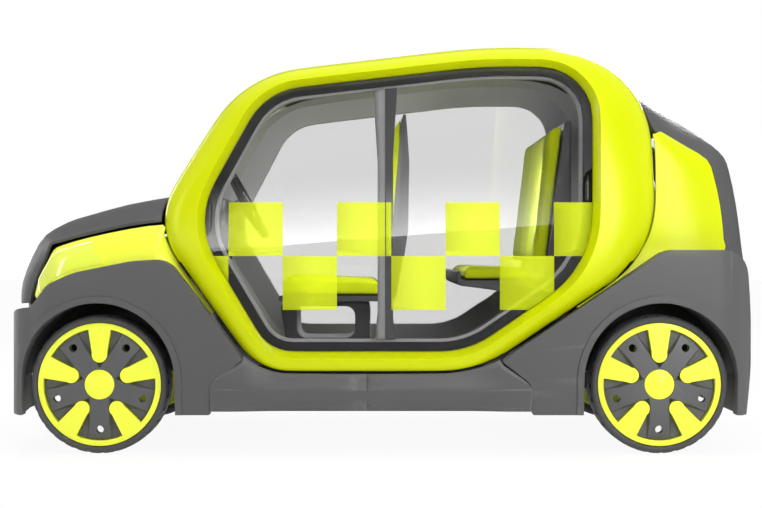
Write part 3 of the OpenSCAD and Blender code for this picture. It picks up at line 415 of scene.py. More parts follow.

# %% [markdown]
# Most finishes differ only in colour, gloss, grain and wear, so one function makes them from a short table.
# The yellow is a glossy paint: the loops have a deeper yellow, which the quarter panels also take as painted
# shade, and the front side panels and wheels a lighter one. The grey lower body is a grained plastic, and the
# rest are trims and metals.

# %% Painted, moulded and metal finishes
FINISHES = {}
COAT_ROUGHNESS = 0.08
ROUGHNESS_SPREAD = 0.04
BUMP_DISTANCE = 0.001
# strength of the headlamp reflector's painted glow, which brightens the lamp
REFLECTOR_PAINTED_GLOW = 0.6


def add_group(tree, group):
    """A node in a material that stands for a shared group."""
    node = tree.nodes.new("ShaderNodeGroup")
    node.node_tree = group
    return node


def finish(
        name, colour, worn, roughness, specular=0.5, coat=0.0, metallic=0.0,
        grain=900, depth=0.02, tone=0.05):
    """A Principled material with panel tone, edge wear and fine grain."""
    material = bpy.data.materials.new(name)
    material.use_nodes = True
    tree = material.node_tree
    surface = tree.nodes["Principled BSDF"]
    surface.inputs["Metallic"].default_value = metallic
    surface.inputs["Specular IOR Level"].default_value = specular
    surface.inputs["Coat Weight"].default_value = coat
    surface.inputs["Coat Roughness"].default_value = COAT_ROUGHNESS
    place = tree.nodes.new("ShaderNodeTexCoord").outputs["Object"]
    toned = add_group(tree, PANEL_TONE)
    toned.inputs["Color"].default_value = colour
    toned.inputs["Amount"].default_value = tone
    wear = add_group(tree, EDGE_WEAR)
    mix = tree.nodes.new("ShaderNodeMix")
    mix.data_type = "RGBA"
    mix.inputs["B"].default_value = worn
    heights = add_group(tree, FINE_GRAIN)
    heights.inputs["Scale"].default_value = grain
    bump = tree.nodes.new("ShaderNodeBump")
    bump.inputs["Strength"].default_value = depth
    bump.inputs["Distance"].default_value = BUMP_DISTANCE
    rough = tree.nodes.new("ShaderNodeMapRange")
    rough.inputs["To Min"].default_value = roughness - ROUGHNESS_SPREAD
    rough.inputs["To Max"].default_value = roughness + ROUGHNESS_SPREAD
    for group in (toned, wear, heights):
        tree.links.new(place, group.inputs["Vector"])
    tree.links.new(toned.outputs["Color"], mix.inputs["A"])
    tree.links.new(wear.outputs["Mask"], mix.inputs["Factor"])
    tree.links.new(mix.outputs["Result"], surface.inputs["Base Color"])
    tree.links.new(heights.outputs["Height"], rough.inputs["Value"])
    tree.links.new(rough.outputs[0], surface.inputs["Roughness"])
    tree.links.new(heights.outputs["Height"], bump.inputs["Height"])
    tree.links.new(bump.outputs[0], surface.inputs["Normal"])
    FINISHES[name] = material


# the loops' own deeper yellow; on the quarter panels the same finish is painted shade, darker than the side
# panels' paint
finish("deep_yellow_and_painted_shade", linear(206, 217, 0), linear(218, 230, 6), 0.24, specular=0.22, depth=0.006, tone=0.03)
finish("yellow_paint", linear(246, 254, 70), linear(250, 255, 100), 0.3, specular=0.4, depth=0.006, tone=0.03)
finish("dark_paint", linear(80, 80, 81), linear(104, 104, 105), 0.50, specular=0.12, depth=0.02)
finish("dark_plastic", linear(84, 84, 85), linear(122, 122, 123), 0.48, specular=0.35, depth=0.05)
finish("inner_trim", linear(196, 196, 197), linear(206, 206, 207), 0.60, specular=0.3, depth=0.05)
finish("roof_lining", linear(58, 58, 59), linear(74, 74, 75), 0.75, specular=0.2, depth=0.08)
finish("frame_strip", linear(50, 51, 53), linear(64, 65, 67), 0.45, specular=0.3, depth=0.04)
finish("post_trim", linear(92, 92, 93), linear(108, 108, 109), 0.50, specular=0.3, depth=0.04)
finish("black_plastic", linear(40, 40, 42), linear(66, 66, 68), 0.50, specular=0.4, depth=0.05)
finish("gloss_black", linear(10, 10, 11), linear(30, 30, 31), 0.12, depth=0.0, tone=0.1)
# painted shade: a near-black finish for the loops' walls in the gaps to the fenders, where shade falls
finish("painted_gap_shade", linear(26, 26, 27), linear(48, 48, 49), 0.70, specular=0.2, grain=1500, depth=0.06)
finish("black_steel", linear(62, 62, 64), linear(70, 70, 72), 0.55, specular=0.4, depth=0.04)
finish("chassis_steel", linear(70, 71, 73), linear(120, 121, 124), 0.45, metallic=0.6, depth=0.04)
finish("casting", linear(150, 151, 152), linear(190, 191, 192), 0.42, metallic=0.8, grain=500, depth=0.1)
finish("seat_shell", linear(72, 72, 74), linear(100, 100, 102), 0.40, specular=0.4, depth=0.03)
finish("wheel_cover", linear(84, 84, 86), linear(120, 120, 122), 0.44, specular=0.4, depth=0.04)
finish("tyre_rubber", linear(74, 74, 75), linear(94, 94, 95), 0.62, specular=0.3, grain=700, depth=0.08)
# painted highlight: a pale finish for the strip between the door panes, where light catches the panes' edges
finish("pale_seam_highlight", linear(150, 150, 151), linear(170, 170, 171), 0.45, specular=0.3, depth=0.02)
finish("reflector", linear(236, 238, 226), linear(244, 245, 238), 0.25, metallic=0.5, depth=0.01, tone=0.03)
finish("bright_red", linear(214, 40, 36), linear(228, 70, 64), 0.15, coat=0.6, depth=0.0, tone=0.06)
finish("red_lens", linear(165, 16, 18), linear(190, 40, 40), 0.12, coat=0.6, depth=0.0, tone=0.1)
# painted light: the reflector glows a little so that the front lamp looks brighter
painted_glow = FINISHES["reflector"].node_tree.nodes["Principled BSDF"]
painted_glow.inputs["Emission Color"].default_value = linear(250, 255, 150)
painted_glow.inputs["Emission Strength"].default_value = REFLECTOR_PAINTED_GLOW
print("finishes:", ", ".join(FINISHES))

# %% [markdown]
# Glass is clear and smooth. A lamp's rays don't bend through a Principled pane in a useful time, so the
# pane turns transparent for shadow rays, and the seats behind it get their light. The lamp's lens is half
# clear: part of the light scatters in its yellow, and part reaches the reflector behind it.

# %% Glass
GLASS_IOR = 1.45


def glass(name, colour, roughness=0.0, clear_share=1.0):
    """A clear or half-clear material, open to shadow rays."""
    material = bpy.data.materials.new(name)
    material.use_nodes = True
    tree = material.node_tree
    surface = tree.nodes["Principled BSDF"]
    surface.inputs["Base Color"].default_value = colour
    surface.inputs["Roughness"].default_value = roughness
    surface.inputs["Transmission Weight"].default_value = clear_share
    surface.inputs["IOR"].default_value = GLASS_IOR
    clear = tree.nodes.new("ShaderNodeBsdfTransparent")
    clear.inputs["Color"].default_value = tuple(math.sqrt(c) for c in colour)
    path = tree.nodes.new("ShaderNodeLightPath")
    blend = tree.nodes.new("ShaderNodeMixShader")
    tree.links.new(path.outputs["Is Shadow Ray"], blend.inputs[0])
    tree.links.new(surface.outputs[0], blend.inputs[1])
    tree.links.new(clear.outputs[0], blend.inputs[2])
    tree.links.new(blend.outputs[0], tree.nodes["Material Output"].inputs[0])
    FINISHES[name] = material


glass("grey_glass", (0.87, 0.87, 0.87, 1))
glass("lamp_lens", (0.93, 1.0, 0.16, 1), roughness=0.06, clear_share=0.4)
print("glass: grey panes and yellow lamp lenses")

# %% [markdown]
# A CAD mesh is loose triangles with flat shading. A skin is a copy with its corners welded and its flat
# triangles joined, shaded smooth up to a sharp edge. The long swept pieces take a subdivision, with their
# real edges creased, and the pressed pieces take a small bevel, so that every edge catches a line of light.
# The walls of the loops that stand in the gaps to the fenders get a second, dark material, which is
# painted shade for those gaps. The roof's inside also gets a second, dark material.

# %% Skins over the imported panels
WELD = 0.00002
JOIN_ANGLES = (40, 60)
FLAT_ANGLE = 0.4
# below this height, loop walls that face the fenders are painted dark as shade for the gaps
SHADE_WALL_TOP = 0.75
SHADE_WALL_TILT = 0.45
LOOP_MIDDLE = Vector((-0.1, 0, 0.95))
LINING_TILT = -0.2


def skin(node, finish_name, sharp=32, bevel=0.0, levels=0):
    """A smoothed copy of a CAD node that stands for it."""
    bm = bmesh.new()
    bm.from_mesh(nodes[node].data)
    bmesh.ops.remove_doubles(bm, verts=bm.verts, dist=WELD)
    for layer in list(bm.loops.layers.uv):
        bm.loops.layers.uv.remove(layer)
    if levels:
        face_angle, shape_angle = map(math.radians, JOIN_ANGLES)
        bmesh.ops.join_triangles(
            bm, faces=bm.faces, angle_face_threshold=face_angle, angle_shape_threshold=shape_angle)
    else:
        bmesh.ops.dissolve_limit(
            bm, angle_limit=math.radians(FLAT_ANGLE), verts=bm.verts, edges=bm.edges, delimit={"NORMAL"})
    crease = bm.edges.layers.float.new("crease_edge")
    for face in bm.faces:
        face.smooth = True
    for edge in bm.edges:
        if len(edge.link_faces) == 2 and edge.calc_face_angle() > math.radians(sharp):
            edge.smooth = False
            edge[crease] = 1.0
    piece = link_object(node + "_skin", bm)
    if levels:
        smooth = piece.modifiers.new("smooth", "SUBSURF")
        smooth.levels = levels
        smooth.render_levels = levels
    if bevel:
        edges = piece.modifiers.new("edges", "BEVEL")
        edges.width = bevel
        edges.segments = 3
        edges.limit_method = "ANGLE"
        edges.angle_limit = math.radians(sharp)
        edges.profile = 0.5
        edges.harden_normals = True
    piece.data.materials.append(FINISHES[finish_name])
    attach(piece, nodes[node]["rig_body"])
    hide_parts(node)
    return piece


# node, finish, sharp edge in degrees, bevel, subdivision levels
SKINS = [
    ("front_fenders", "dark_plastic", 28, 0.004, 0),
    ("rear_fenders", "dark_plastic", 28, 0.004, 0),
    ("front_bumper", "dark_plastic", 28, 0.004, 0),
    ("rear_bumper", "dark_plastic", 28, 0.004, 0),
    ("sills", "dark_plastic", 28, 0.004, 0),
    ("door_loop_left", "deep_yellow_and_painted_shade", 50, 0.0, 2),
    ("door_loop_right", "deep_yellow_and_painted_shade", 50, 0.0, 2),
    ("side_frame_left", "inner_trim", 40, 0.0, 1),
    ("side_frame_right", "inner_trim", 40, 0.0, 1),
    ("bonnet", "dark_paint", 40, 0.0, 0),
    ("roof", "dark_paint", 40, 0.0, 0),
    ("tailgate", "dark_paint", 40, 0.0, 0),
    ("front_side_panels", "yellow_paint", 40, 0.0, 0),
    # painted shade: the quarter panels take the darker loop yellow because more light falls on the rear
    ("quarter_panels", "deep_yellow_and_painted_shade", 40, 0.0, 0),
    ("door_frames", "frame_strip", 30, 0.003, 0),
    ("centre_posts", "post_trim", 30, 0.004, 0),
    ("dashboard", "black_plastic", 30, 0.004, 0),
    ("steering_column", "black_plastic", 30, 0.002, 0),
    ("steering_wheel", "black_plastic", 30, 0.002, 0),
    ("driver_seat_base", "seat_shell", 30, 0.006, 0),
    ("driver_seat_shell", "seat_shell", 30, 0.006, 0),
    ("bench_shell", "seat_shell", 30, 0.006, 0),
    ("tail_lamps", "red_lens", 30, 0.003, 0),
    ("windscreen", "grey_glass", 40, 0.0, 0),
    ("tailgate_glass", "grey_glass", 40, 0.0, 0),
    ("door_glass", "grey_glass", 40, 0.0, 0),
    ("headlamps", "lamp_lens", 40, 0.0, 1),
    ("floor_pan", "black_steel", 30, 0.003, 0),
    ("front_tub", "black_steel", 30, 0.003, 0),
    ("rear_tub", "black_steel", 30, 0.003, 0),
    ("bulkhead", "black_steel", 30, 0.003, 0),
    ("arch_liners", "black_plastic", 30, 0.0, 0),
    ("battery_pack", "casting", 30, 0.006, 0),
    ("drive_motor", "casting", 30, 0.003, 0),
    ("front_axle", "chassis_steel", 30, 0.003, 0),
    ("rear_axle", "chassis_steel", 30, 0.003, 0),
    ("knuckle_left", "casting", 30, 0.002, 0),
    ("knuckle_right", "casting", 30, 0.002, 0),
]
CORNERS = ("fl", "fr", "rl", "rr")
for corner in CORNERS:
    SKINS.append(("wheel_" + corner, "yellow_paint", 30, 0.0015, 0))
    SKINS.append(("cover_" + corner, "wheel_cover", 28, 0.002, 0))
skins = {row[0]: skin(*row) for row in SKINS}
# the loops' lower walls in the gaps to the fenders take the dark finish: painted shade for those gaps
for node in ("door_loop_left", "door_loop_right"):
    loop = skins[node].data
    loop.materials.append(FINISHES["painted_gap_shade"])
    for polygon in loop.polygons:
        out, away = polygon.normal, polygon.center - LOOP_MIDDLE
        if polygon.center.z < SHADE_WALL_TOP and abs(out.y) < SHADE_WALL_TILT and out.x * away.x + out.z * away.z > 0:
            polygon.material_index = 1
roof = skins["roof"].data
roof.materials.append(FINISHES["roof_lining"])
for polygon in roof.polygons:
    polygon.material_index = int(polygon.normal.z < LINING_TILT)
print("skins:", len(skins), "- below", SHADE_WALL_TOP, "m the loops' outer walls are painted dark as gap shade")

# %% [markdown]
# A tyre is a turned shape: its section is drawn once and spun round the axle. The tread's three grooves are
# in the section, and the short cuts across its shoulders are pressed into every third field of the spun
# mesh.

# %% Tyres
TREAD_STEPS = 96
CUT_EVERY = 3
CUT_DEPTH = 0.005
SHOULDER = (0.0375, 0.0640)
SHOULDER_RADIUS = 0.258
TREAD_SHARP = 35
# radius and distance from the tyre's middle plane, from the outer bead over the tread to the inner bead
TYRE_SECTION = [
    (0.2256, 0.0602), (0.2363, 0.0602), (0.2366, 0.0660), (0.2388, 0.0700), (0.2420, 0.0730),
    (0.2450, 0.0746), (0.2470, 0.0749), (0.2478, 0.0742), (0.2486, 0.0742), (0.2494, 0.0747),
    (0.2530, 0.0735), (0.2570, 0.0706), (0.2605, 0.0660), (0.2632, 0.0600), (0.2645, 0.0530),
    (0.2648, 0.0370), (0.2590, 0.0355), (0.2590, 0.0310), (0.2649, 0.0295), (0.2650, 0.0060),
    (0.2590, 0.0045), (0.2590, -0.0045), (0.2650, -0.0060), (0.2649, -0.0295), (0.2590, -0.0310),
    (0.2590, -0.0355), (0.2648, -0.0370), (0.2645, -0.0530), (0.2632, -0.0600), (0.2605, -0.0660),
    (0.2570, -0.0706), (0.2530, -0.0735), (0.2450, -0.0748), (0.2350, -0.0705), (0.2256, -0.0630),
]


def tyre(corner):
    """A treaded tyre on its wheel, with its outer side away from the car."""
    low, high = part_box("tyre_" + corner)
    middle = (low + high) / 2
    out = 1 if middle.y > 0 else -1
    bm = bmesh.new()
    ring = [bm.verts.new((0, out * y, r)) for r, y in TYRE_SECTION]
    edges = [bm.edges.new((ring[i], ring[(i + 1) % len(ring)])) for i in range(len(ring))]
    bmesh.ops.spin(
        bm, geom=ring + edges, cent=(0, 0, 0), axis=(0, 1, 0), angle=math.tau, steps=TREAD_STEPS,
        use_merge=True)
    bmesh.ops.remove_doubles(bm, verts=bm.verts, dist=WELD)
    cuts = {}
    for face in bm.faces:
        face.smooth = True
        spot = face.calc_center_median()
        step = int((math.atan2(spot.x, spot.z) % math.tau) / math.tau * TREAD_STEPS)
        shoulder = SHOULDER[0] < abs(spot.y) < SHOULDER[1] and math.hypot(spot.x, spot.z) > SHOULDER_RADIUS
        if shoulder and step % CUT_EVERY == 0:
            cuts.setdefault((step, spot.y > 0), []).append(face)
    for faces in cuts.values():
        pressed = bmesh.ops.extrude_face_region(bm, geom=faces)["geom"]
        for vert in (g for g in pressed if isinstance(g, bmesh.types.BMVert)):
            radius = math.hypot(vert.co.x, vert.co.z)
            vert.co.x *= 1 - CUT_DEPTH / radius
            vert.co.z *= 1 - CUT_DEPTH / radius
        bmesh.ops.delete(bm, geom=[f for f in faces if f.is_valid], context="FACES_ONLY")
    bmesh.ops.recalc_face_normals(bm, faces=bm.faces)
    bmesh.ops.translate(bm, verts=bm.verts, vec=middle)
    for edge in bm.edges:
        if len(edge.link_faces) == 2 and edge.calc_face_angle() > math.radians(TREAD_SHARP):
            edge.smooth = False
    piece = link_object("tyre_tread_" + corner, bm)
    piece.data.materials.append(FINISHES["tyre_rubber"])
    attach(piece, "wheel_" + corner)
    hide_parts("tyre_" + corner)
    return piece


tyres = [tyre(corner) for corner in CORNERS]
print("tyres:", len(tyres), "of", len(tyres[0].data.polygons), "faces")

# %% [markdown]
# The seats have a cover of plain woven yellow cloth. A weave is two sets of threads that cross, so the
# height of the cloth is the product of two waves, one along the pad and one across the car. The gaps between
# the threads are painted darker than the thread tops, as painted shade in the hollows of the weave.

# %% Cover fabric
def weave_group():
    """Height and shade of a plain weave, with threads across the car and along the pad."""
    group, start, end = new_group(
        "plain_weave", [("Vector", "Vector", None), ("Threads", "Float", 1900.0)], [("Height", "Float")])
    spot = group.nodes.new("ShaderNodeSeparateXYZ")
    along = group.nodes.new("ShaderNodeMath")
    waves = []
    group.links.new(start.outputs["Vector"], spot.inputs[0])
    group.links.new(spot.outputs["X"], along.inputs[0])
    group.links.new(spot.outputs["Z"], along.inputs[1])
    for place in (along.outputs[0], spot.outputs["Y"]):
        turns = group.nodes.new("ShaderNodeMath")
        turns.operation = "MULTIPLY"
        wave = group.nodes.new("ShaderNodeMath")
        wave.operation = "SINE"
        group.links.new(place, turns.inputs[0])
        group.links.new(start.outputs["Threads"], turns.inputs[1])
        group.links.new(turns.outputs[0], wave.inputs[0])
        waves.append(wave.outputs[0])
    crossed = group.nodes.new("ShaderNodeMath")
    crossed.operation = "MULTIPLY"
    height = group.nodes.new("ShaderNodeMath")
    height.operation = "MULTIPLY_ADD"
    height.inputs[1].default_value = 0.5
    height.inputs[2].default_value = 0.5
    group.links.new(waves[0], crossed.inputs[0])
    group.links.new(waves[1], crossed.inputs[1])
    group.links.new(crossed.outputs[0], height.inputs[0])
    group.links.new(height.outputs[0], end.inputs["Height"])
    return group


WEAVE = weave_group()


def fabric(name, light, dark):
    """A woven cover with painted shade in its gaps, which are darker than the thread tops, and a soft sheen.
    """
    material = bpy.data.materials.new(name)
    material.use_nodes = True
    tree = material.node_tree
    surface = tree.nodes["Principled BSDF"]
    surface.inputs["Roughness"].default_value = 0.85
    surface.inputs["Specular IOR Level"].default_value = 0.2
    surface.inputs["Sheen Weight"].default_value = 0.15
    place = tree.nodes.new("ShaderNodeTexCoord").outputs["Object"]
    weave = add_group(tree, WEAVE)
    toned = add_group(tree, PANEL_TONE)
    toned.inputs["Amount"].default_value = 0.12
    toned.inputs["Scale"].default_value = 9.0
    mix = tree.nodes.new("ShaderNodeMix")
    mix.data_type = "RGBA"
    # painted shade: the weave's gaps take the darker tone, the thread tops the lighter one
    mix.inputs["A"].default_value = dark
    mix.inputs["B"].default_value = light
    bump = tree.nodes.new("ShaderNodeBump")
    bump.inputs["Strength"].default_value = 0.35
    bump.inputs["Distance"].default_value = 0.0006
    tree.links.new(place, weave.inputs["Vector"])
    tree.links.new(place, toned.inputs["Vector"])
    tree.links.new(weave.outputs["Height"], mix.inputs["Factor"])
    tree.links.new(mix.outputs["Result"], toned.inputs["Color"])
    tree.links.new(toned.outputs["Color"], surface.inputs["Base Color"])
    tree.links.new(weave.outputs["Height"], bump.inputs["Height"])
    tree.links.new(bump.outputs[0], surface.inputs["Normal"])
    FINISHES[name] = material


# a lit and a shaded tone of one yellow cloth; the shaded one is painted into the weave's gaps
fabric("seat_fabric", linear(222, 238, 14), linear(176, 190, 6))
print("fabric:", FINISHES["seat_fabric"].name, "over", WEAVE.name)

# %% [markdown]
# The pads are foam inside that cover, sewn in channels. Foam swells until its cover holds it, so each pad
# starts a little smaller than its space, is remeshed evenly and is blown up as cloth under pressure. The
# cover may not grow into the shell that carries it, so its way there is closed. The channels are pressed in
# afterwards, because a fine groove would be lost in the remesh.

# %% Seat pads
PAD_INSET = 0.005
PAD_SWELL = 0.013
PAD_VOXEL = 0.007
PAD_PRESSURE = 4.0
PAD_FRAMES = 20
CHANNEL_DEPTH = 0.006
CHANNEL_WIDTH = 0.007
FACING = -0.2


def pad_shape(node, upper):
    """The closed mesh of a node's lower or upper pad, a little smaller than its space."""
    bm = bmesh.new()
    bm.from_mesh(nodes[node].data)
    bmesh.ops.remove_doubles(bm, verts=bm.verts, dist=WELD)
    islands, seen = [], set()
    for first in bm.verts:
        if first in seen:
            continue
        island, edge = {first}, [first]
        while edge:
            for link in edge.pop().link_edges:
                for vert in link.verts:
                    if vert not in island:
                        island.add(vert)
                        edge.append(vert)
        seen |= island
        islands.append(island)
    islands.sort(key=lambda island: sum(v.co.z for v in island) / len(island))
    kept = islands[-1] if upper else islands[0]
    bmesh.ops.delete(bm, geom=[v for v in bm.verts if v not in kept], context="VERTS")
    corners = [Vector(map(pick, zip(*(v.co for v in bm.verts)))) for pick in (min, max)]
    middle, size = (corners[0] + corners[1]) / 2, corners[1] - corners[0]
    ratio = [(length - 2 * PAD_INSET) / length for length in size]
    bmesh.ops.scale(bm, vec=ratio, verts=bm.verts, space=Matrix.Translation(-middle))
    return bm, corners


def settled(piece):
    """The piece's mesh with its modifiers applied, which are then removed."""
    graph = bpy.context.evaluated_depsgraph_get()
    mesh = bpy.data.meshes.new_from_object(piece.evaluated_get(graph))
    piece.modifiers.clear()
    old, piece.data = piece.data, mesh
    bpy.data.meshes.remove(old)


def swell(piece, corners, rest):
    """Blows a pad up as cloth, capped, kept out of its shell: rest points from the pad to the shell."""
    before = [v.co.copy() for v in piece.data.vertices]
    cloth = piece.modifiers.new("cover", "CLOTH")
    cloth.settings.use_pressure = True
    cloth.settings.uniform_pressure_force = PAD_PRESSURE
    cloth.settings.effector_weights.gravity = 0
    for number in range(1, PAD_FRAMES + 1):
        scene.frame_set(number)
    settled(piece)
    scene.frame_set(1)
    for vert, start in zip(piece.data.vertices, before):
        move = vert.co - start
        into = move.dot(rest)
        if into > 0:
            move -= rest * into
        if move.length > PAD_SWELL:
            move *= PAD_SWELL / move.length
        vert.co = start + move
        vert.co.y = min(max(vert.co.y, corners[0].y), corners[1].y)


def pad(name, node, upper, rest, channels):
    """One padded piece in the place of a CAD pad, with sewn channels at distances from the middle."""
    bm, corners = pad_shape(node, upper)
    piece = link_object(name, bm)
    grid = piece.modifiers.new("even", "REMESH")
    grid.mode = "VOXEL"
    grid.voxel_size = PAD_VOXEL
    settled(piece)
    swell(piece, corners, Vector(rest).normalized())
    fine = piece.modifiers.new("fine", "SUBSURF")
    fine.levels = 1
    fine.render_levels = 1
    settled(piece)
    normals = [v.normal.copy() for v in piece.data.vertices]
    for vert, normal in zip(piece.data.vertices, normals):
        if normal.dot(Vector(rest).normalized()) < FACING:
            for place in channels:
                near = (vert.co.y - place) / CHANNEL_WIDTH
                vert.co -= normal * CHANNEL_DEPTH * math.exp(-near * near)
    for polygon in piece.data.polygons:
        polygon.use_smooth = True
    piece.data.materials.append(FINISHES["seat_fabric"])
    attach(piece, "body")
    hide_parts(node)
    return piece


pads = [
    pad("driver_cushion", "driver_seat_pads", False, (0, 0, -1), (-0.13, 0.13)),
    pad("driver_back", "driver_seat_pads", True, (-1, 0, -0.1), (-0.12, 0.12)),
    pad("bench_cushion", "bench_pads", False, (0, 0, -1), (-0.17, 0.17)),
    pad("bench_back", "bench_pads", True, (-1, 0, -0.12), (-0.17, 0.17)),
]
print("pads:", [len(piece.data.polygons) for piece in pads], "faces")

# %% [markdown]
# Many trims are a thin sheet that lies on a panel: the black fields at the ends of the door glass, the
# pale strip between its panes, which is a painted highlight, and the bars of the tail lamps. Each one is cut
# out of a copy of the panel it lies on, with straight cuts, so it follows that panel's curve exactly, and a
# Solidify modifier gives it thickness. The black fields come first.

# %% Trims cut from the panels
def trim_sheet(name, node, keep, cuts, lift, thickness, finish_name):
    """A sheet on the faces of a node that keep() picks, inside cuts: (point, normal that points outside)."""
    bm = bmesh.new()
    bm.from_mesh(nodes[node].data)
    bmesh.ops.remove_doubles(bm, verts=bm.verts, dist=WELD)
    bmesh.ops.delete(bm, geom=[f for f in bm.faces if not keep(f)], context="FACES")
    for spot, normal in cuts:
        bmesh.ops.bisect_plane(
            bm, geom=bm.verts[:] + bm.edges[:] + bm.faces[:], plane_co=spot, plane_no=normal,
            clear_outer=True)
    bm.normal_update()
    for vert in bm.verts:
        vert.co += vert.normal * lift
    for face in bm.faces:
        face.smooth = True
    piece = link_object(name, bm)
    sheet = piece.modifiers.new("sheet", "SOLIDIFY")
    sheet.thickness = thickness
    sheet.offset = 1
    piece.data.materials.append(FINISHES[finish_name])
    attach(piece, nodes[node]["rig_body"])
    return piece


def outward(side):
    """Picks the faces of one side of the car that look away from it."""
    return lambda face: face.calc_center_median().y * side > 0 and face.normal.y * side > 0.7


def convex_cuts(corners):
    """Cuts along the edges of a convex outline of (x, z) corners, with normals away from its middle."""
    middle = Vector((sum(x for x, z in corners), 0, sum(z for x, z in corners))) / len(corners)
    cuts = []
    for (x0, z0), (x1, z1) in zip(corners, corners[1:] + corners[:1]):
        spot, normal = Vector((x0, 0, z0)), Vector((z0 - z1, 0, x1 - x0))
        cuts.append((spot, normal if (middle - spot).dot(normal) < 0 else -normal))
    return cuts


FRONT_FIELD = [(0.672, 1.000), (0.657, 0.988), (0.643, 0.957), (0.643, 0.868), (0.657, 0.840), (0.672, 0.828)]
REAR_FIELD = [(-0.783, 1.050), (-0.797, 1.078), (-0.828, 1.100), (-0.828, 0.962), (-0.783, 0.962)]
FIELD_LIFT = 0.0001
FIELD_THICKNESS = 0.0003
SIDES = ((1, "left"), (-1, "right"))
trims = []
for side, word in SIDES:
    for corners, place in ((FRONT_FIELD, "front"), (REAR_FIELD, "rear")):
        trims.append(trim_sheet(
            f"black_field_{place}_{word}", "door_frames", outward(side), convex_cuts(corners), FIELD_LIFT,
            FIELD_THICKNESS, "gloss_black"))
print("trims:", [piece.name for piece in trims])

# %% [markdown]
# The two panes of a door meet in front of the post, with a narrow gap between them. A pale strip fills it.
# The gap's edges are read from the glass, and the strip is cut out of the post's outer face between them.

# %% Strip between the door panes
SEAM_SEARCH = 0.2
STRIP_CLEAR = 0.0004
STRIP_THICKNESS = 0.0045
glass_points = [v.co for v in nodes["door_glass"].data.vertices]
pane_edges = [point.x for point in glass_points if point.y > 0 and abs(point.x) < SEAM_SEARCH]
behind = max(x for x in pane_edges if x < sum(pane_edges) / len(pane_edges))
ahead = min(x for x in pane_edges if x > behind)
for side, word in SIDES:
    cuts = [
        (Vector((ahead - STRIP_CLEAR, 0, 0)), Vector((1, 0, 0))),
        (Vector((behind + STRIP_CLEAR, 0, 0)), Vector((-1, 0, 0))),
    ]
    # the pale strip is a painted highlight along the gap between the panes
    trims.append(trim_sheet(
        "pane_highlight_strip_" + word, "centre_posts", outward(side), cuts, 0.0, STRIP_THICKNESS,
        "pale_seam_highlight"))
print("pane strip:", round(ahead - behind, 4), "m wide")

# %% [markdown]
# The sill under the doors is clad with two moulded panels. Seen from the side, a panel's upper edge runs
# below the loop, climbs round its corner and then falls along the fender. Its face is folded along the
# middle, and the fold dies out towards the fender. A grid is laid over the panel and its points are moved
# to those edges and that face.

# %% Sill cladding
CLADDING = 0.002
SEAM_HALF = 0.001
HALF_ROWS = 4
SEAM_COLUMNS = 4
FLAT_FROM = 0.36
FLAT_OVER = 0.18
SILL_MIDDLE = 0.03
SILL_LOW = 0.164
SILL_FOLD = 0.25
SILL_TOP = 0.306
# height, then the distance of the folded and of the flat face from the middle plane
SILL_FACE = (
    (SILL_LOW, 0.757, 0.784), (SILL_FOLD, 0.800, 0.796), (SILL_TOP, 0.775, 0.800), (0.40, 0.752, 0.806),
)
# upper edge of each panel, from the seam in the middle to the fender: x, z
FRONT_EDGE = [
    (0.350, 0.309), (0.380, 0.312), (0.410, 0.318), (0.430, 0.325), (0.450, 0.333), (0.465, 0.341),
    (0.480, 0.350), (0.495, 0.360), (0.508, 0.371), (0.517, 0.379), (0.5215, 0.357), (0.560, 0.332),
    (0.608, 0.302), (0.626, 0.288), (0.636, 0.274), (0.644, 0.258),
]
REAR_EDGE = [
    (-0.260, 0.309), (-0.300, 0.314), (-0.340, 0.321), (-0.360, 0.326), (-0.380, 0.331), (-0.400, 0.338),
    (-0.420, 0.345), (-0.440, 0.354), (-0.458, 0.363), (-0.468, 0.344), (-0.500, 0.321), (-0.545, 0.289),
    (-0.564, 0.272), (-0.574, 0.262), (-0.582, 0.256),
]


def sill_y(x, z):
    """Distance of the sill's face from the middle plane; the fold fades near the fenders."""
    near = min(max((abs(x - SILL_MIDDLE) - FLAT_FROM) / FLAT_OVER, 0), 1)
    share = near * near * (3 - 2 * near)
    for (z0, y0, f0), (z1, y1, f1) in zip(SILL_FACE, SILL_FACE[1:]):
        if z <= z1:
            break
    t = (z - z0) / (z1 - z0)
    return (y0 + (y1 - y0) * t) * (1 - share) + (f0 + (f1 - f0) * t) * share


def sill_panel(name, edge, seam, side):
    """Cladding from the seam to a fender, on one side of the car."""
    start, corner = Vector((seam, SILL_TOP)), Vector(edge[0])
    top = [tuple(start.lerp(corner, k / SEAM_COLUMNS)) for k in range(SEAM_COLUMNS)] + edge
    bm = bmesh.new()
    bmesh.ops.create_grid(bm, x_segments=len(top) - 1, y_segments=2 * HALF_ROWS, size=1.0)
    for vert in bm.verts:
        x, high = top[round((vert.co.x + 1) / 2 * (len(top) - 1))]
        row = vert.co.y
        z = SILL_FOLD + row * (high - SILL_FOLD if row > 0 else SILL_FOLD - SILL_LOW)
        vert.co = Vector((x, side * (sill_y(x, z) + CLADDING), z))
    bmesh.ops.recalc_face_normals(bm, faces=bm.faces)
    if sum(face.normal.y for face in bm.faces) * side < 0:
        bmesh.ops.reverse_faces(bm, faces=bm.faces)
    for face in bm.faces:
        face.smooth = True
    piece = link_object(name, bm)
    wall = piece.modifiers.new("wall", "SOLIDIFY")
    wall.thickness = CLADDING
    wall.offset = -1
    piece.data.materials.append(FINISHES["dark_plastic"])
    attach(piece, "body")
    return piece


seam_x = (ahead + behind) / 2
for side, word in SIDES:
    trims.append(sill_panel("sill_panel_front_" + word, FRONT_EDGE, seam_x + SEAM_HALF, side))
    trims.append(sill_panel("sill_panel_rear_" + word, REAR_EDGE, seam_x - SEAM_HALF, side))
print("sill panels:", len(trims[-1].data.polygons), "faces each, about a seam at", round(seam_x, 4))

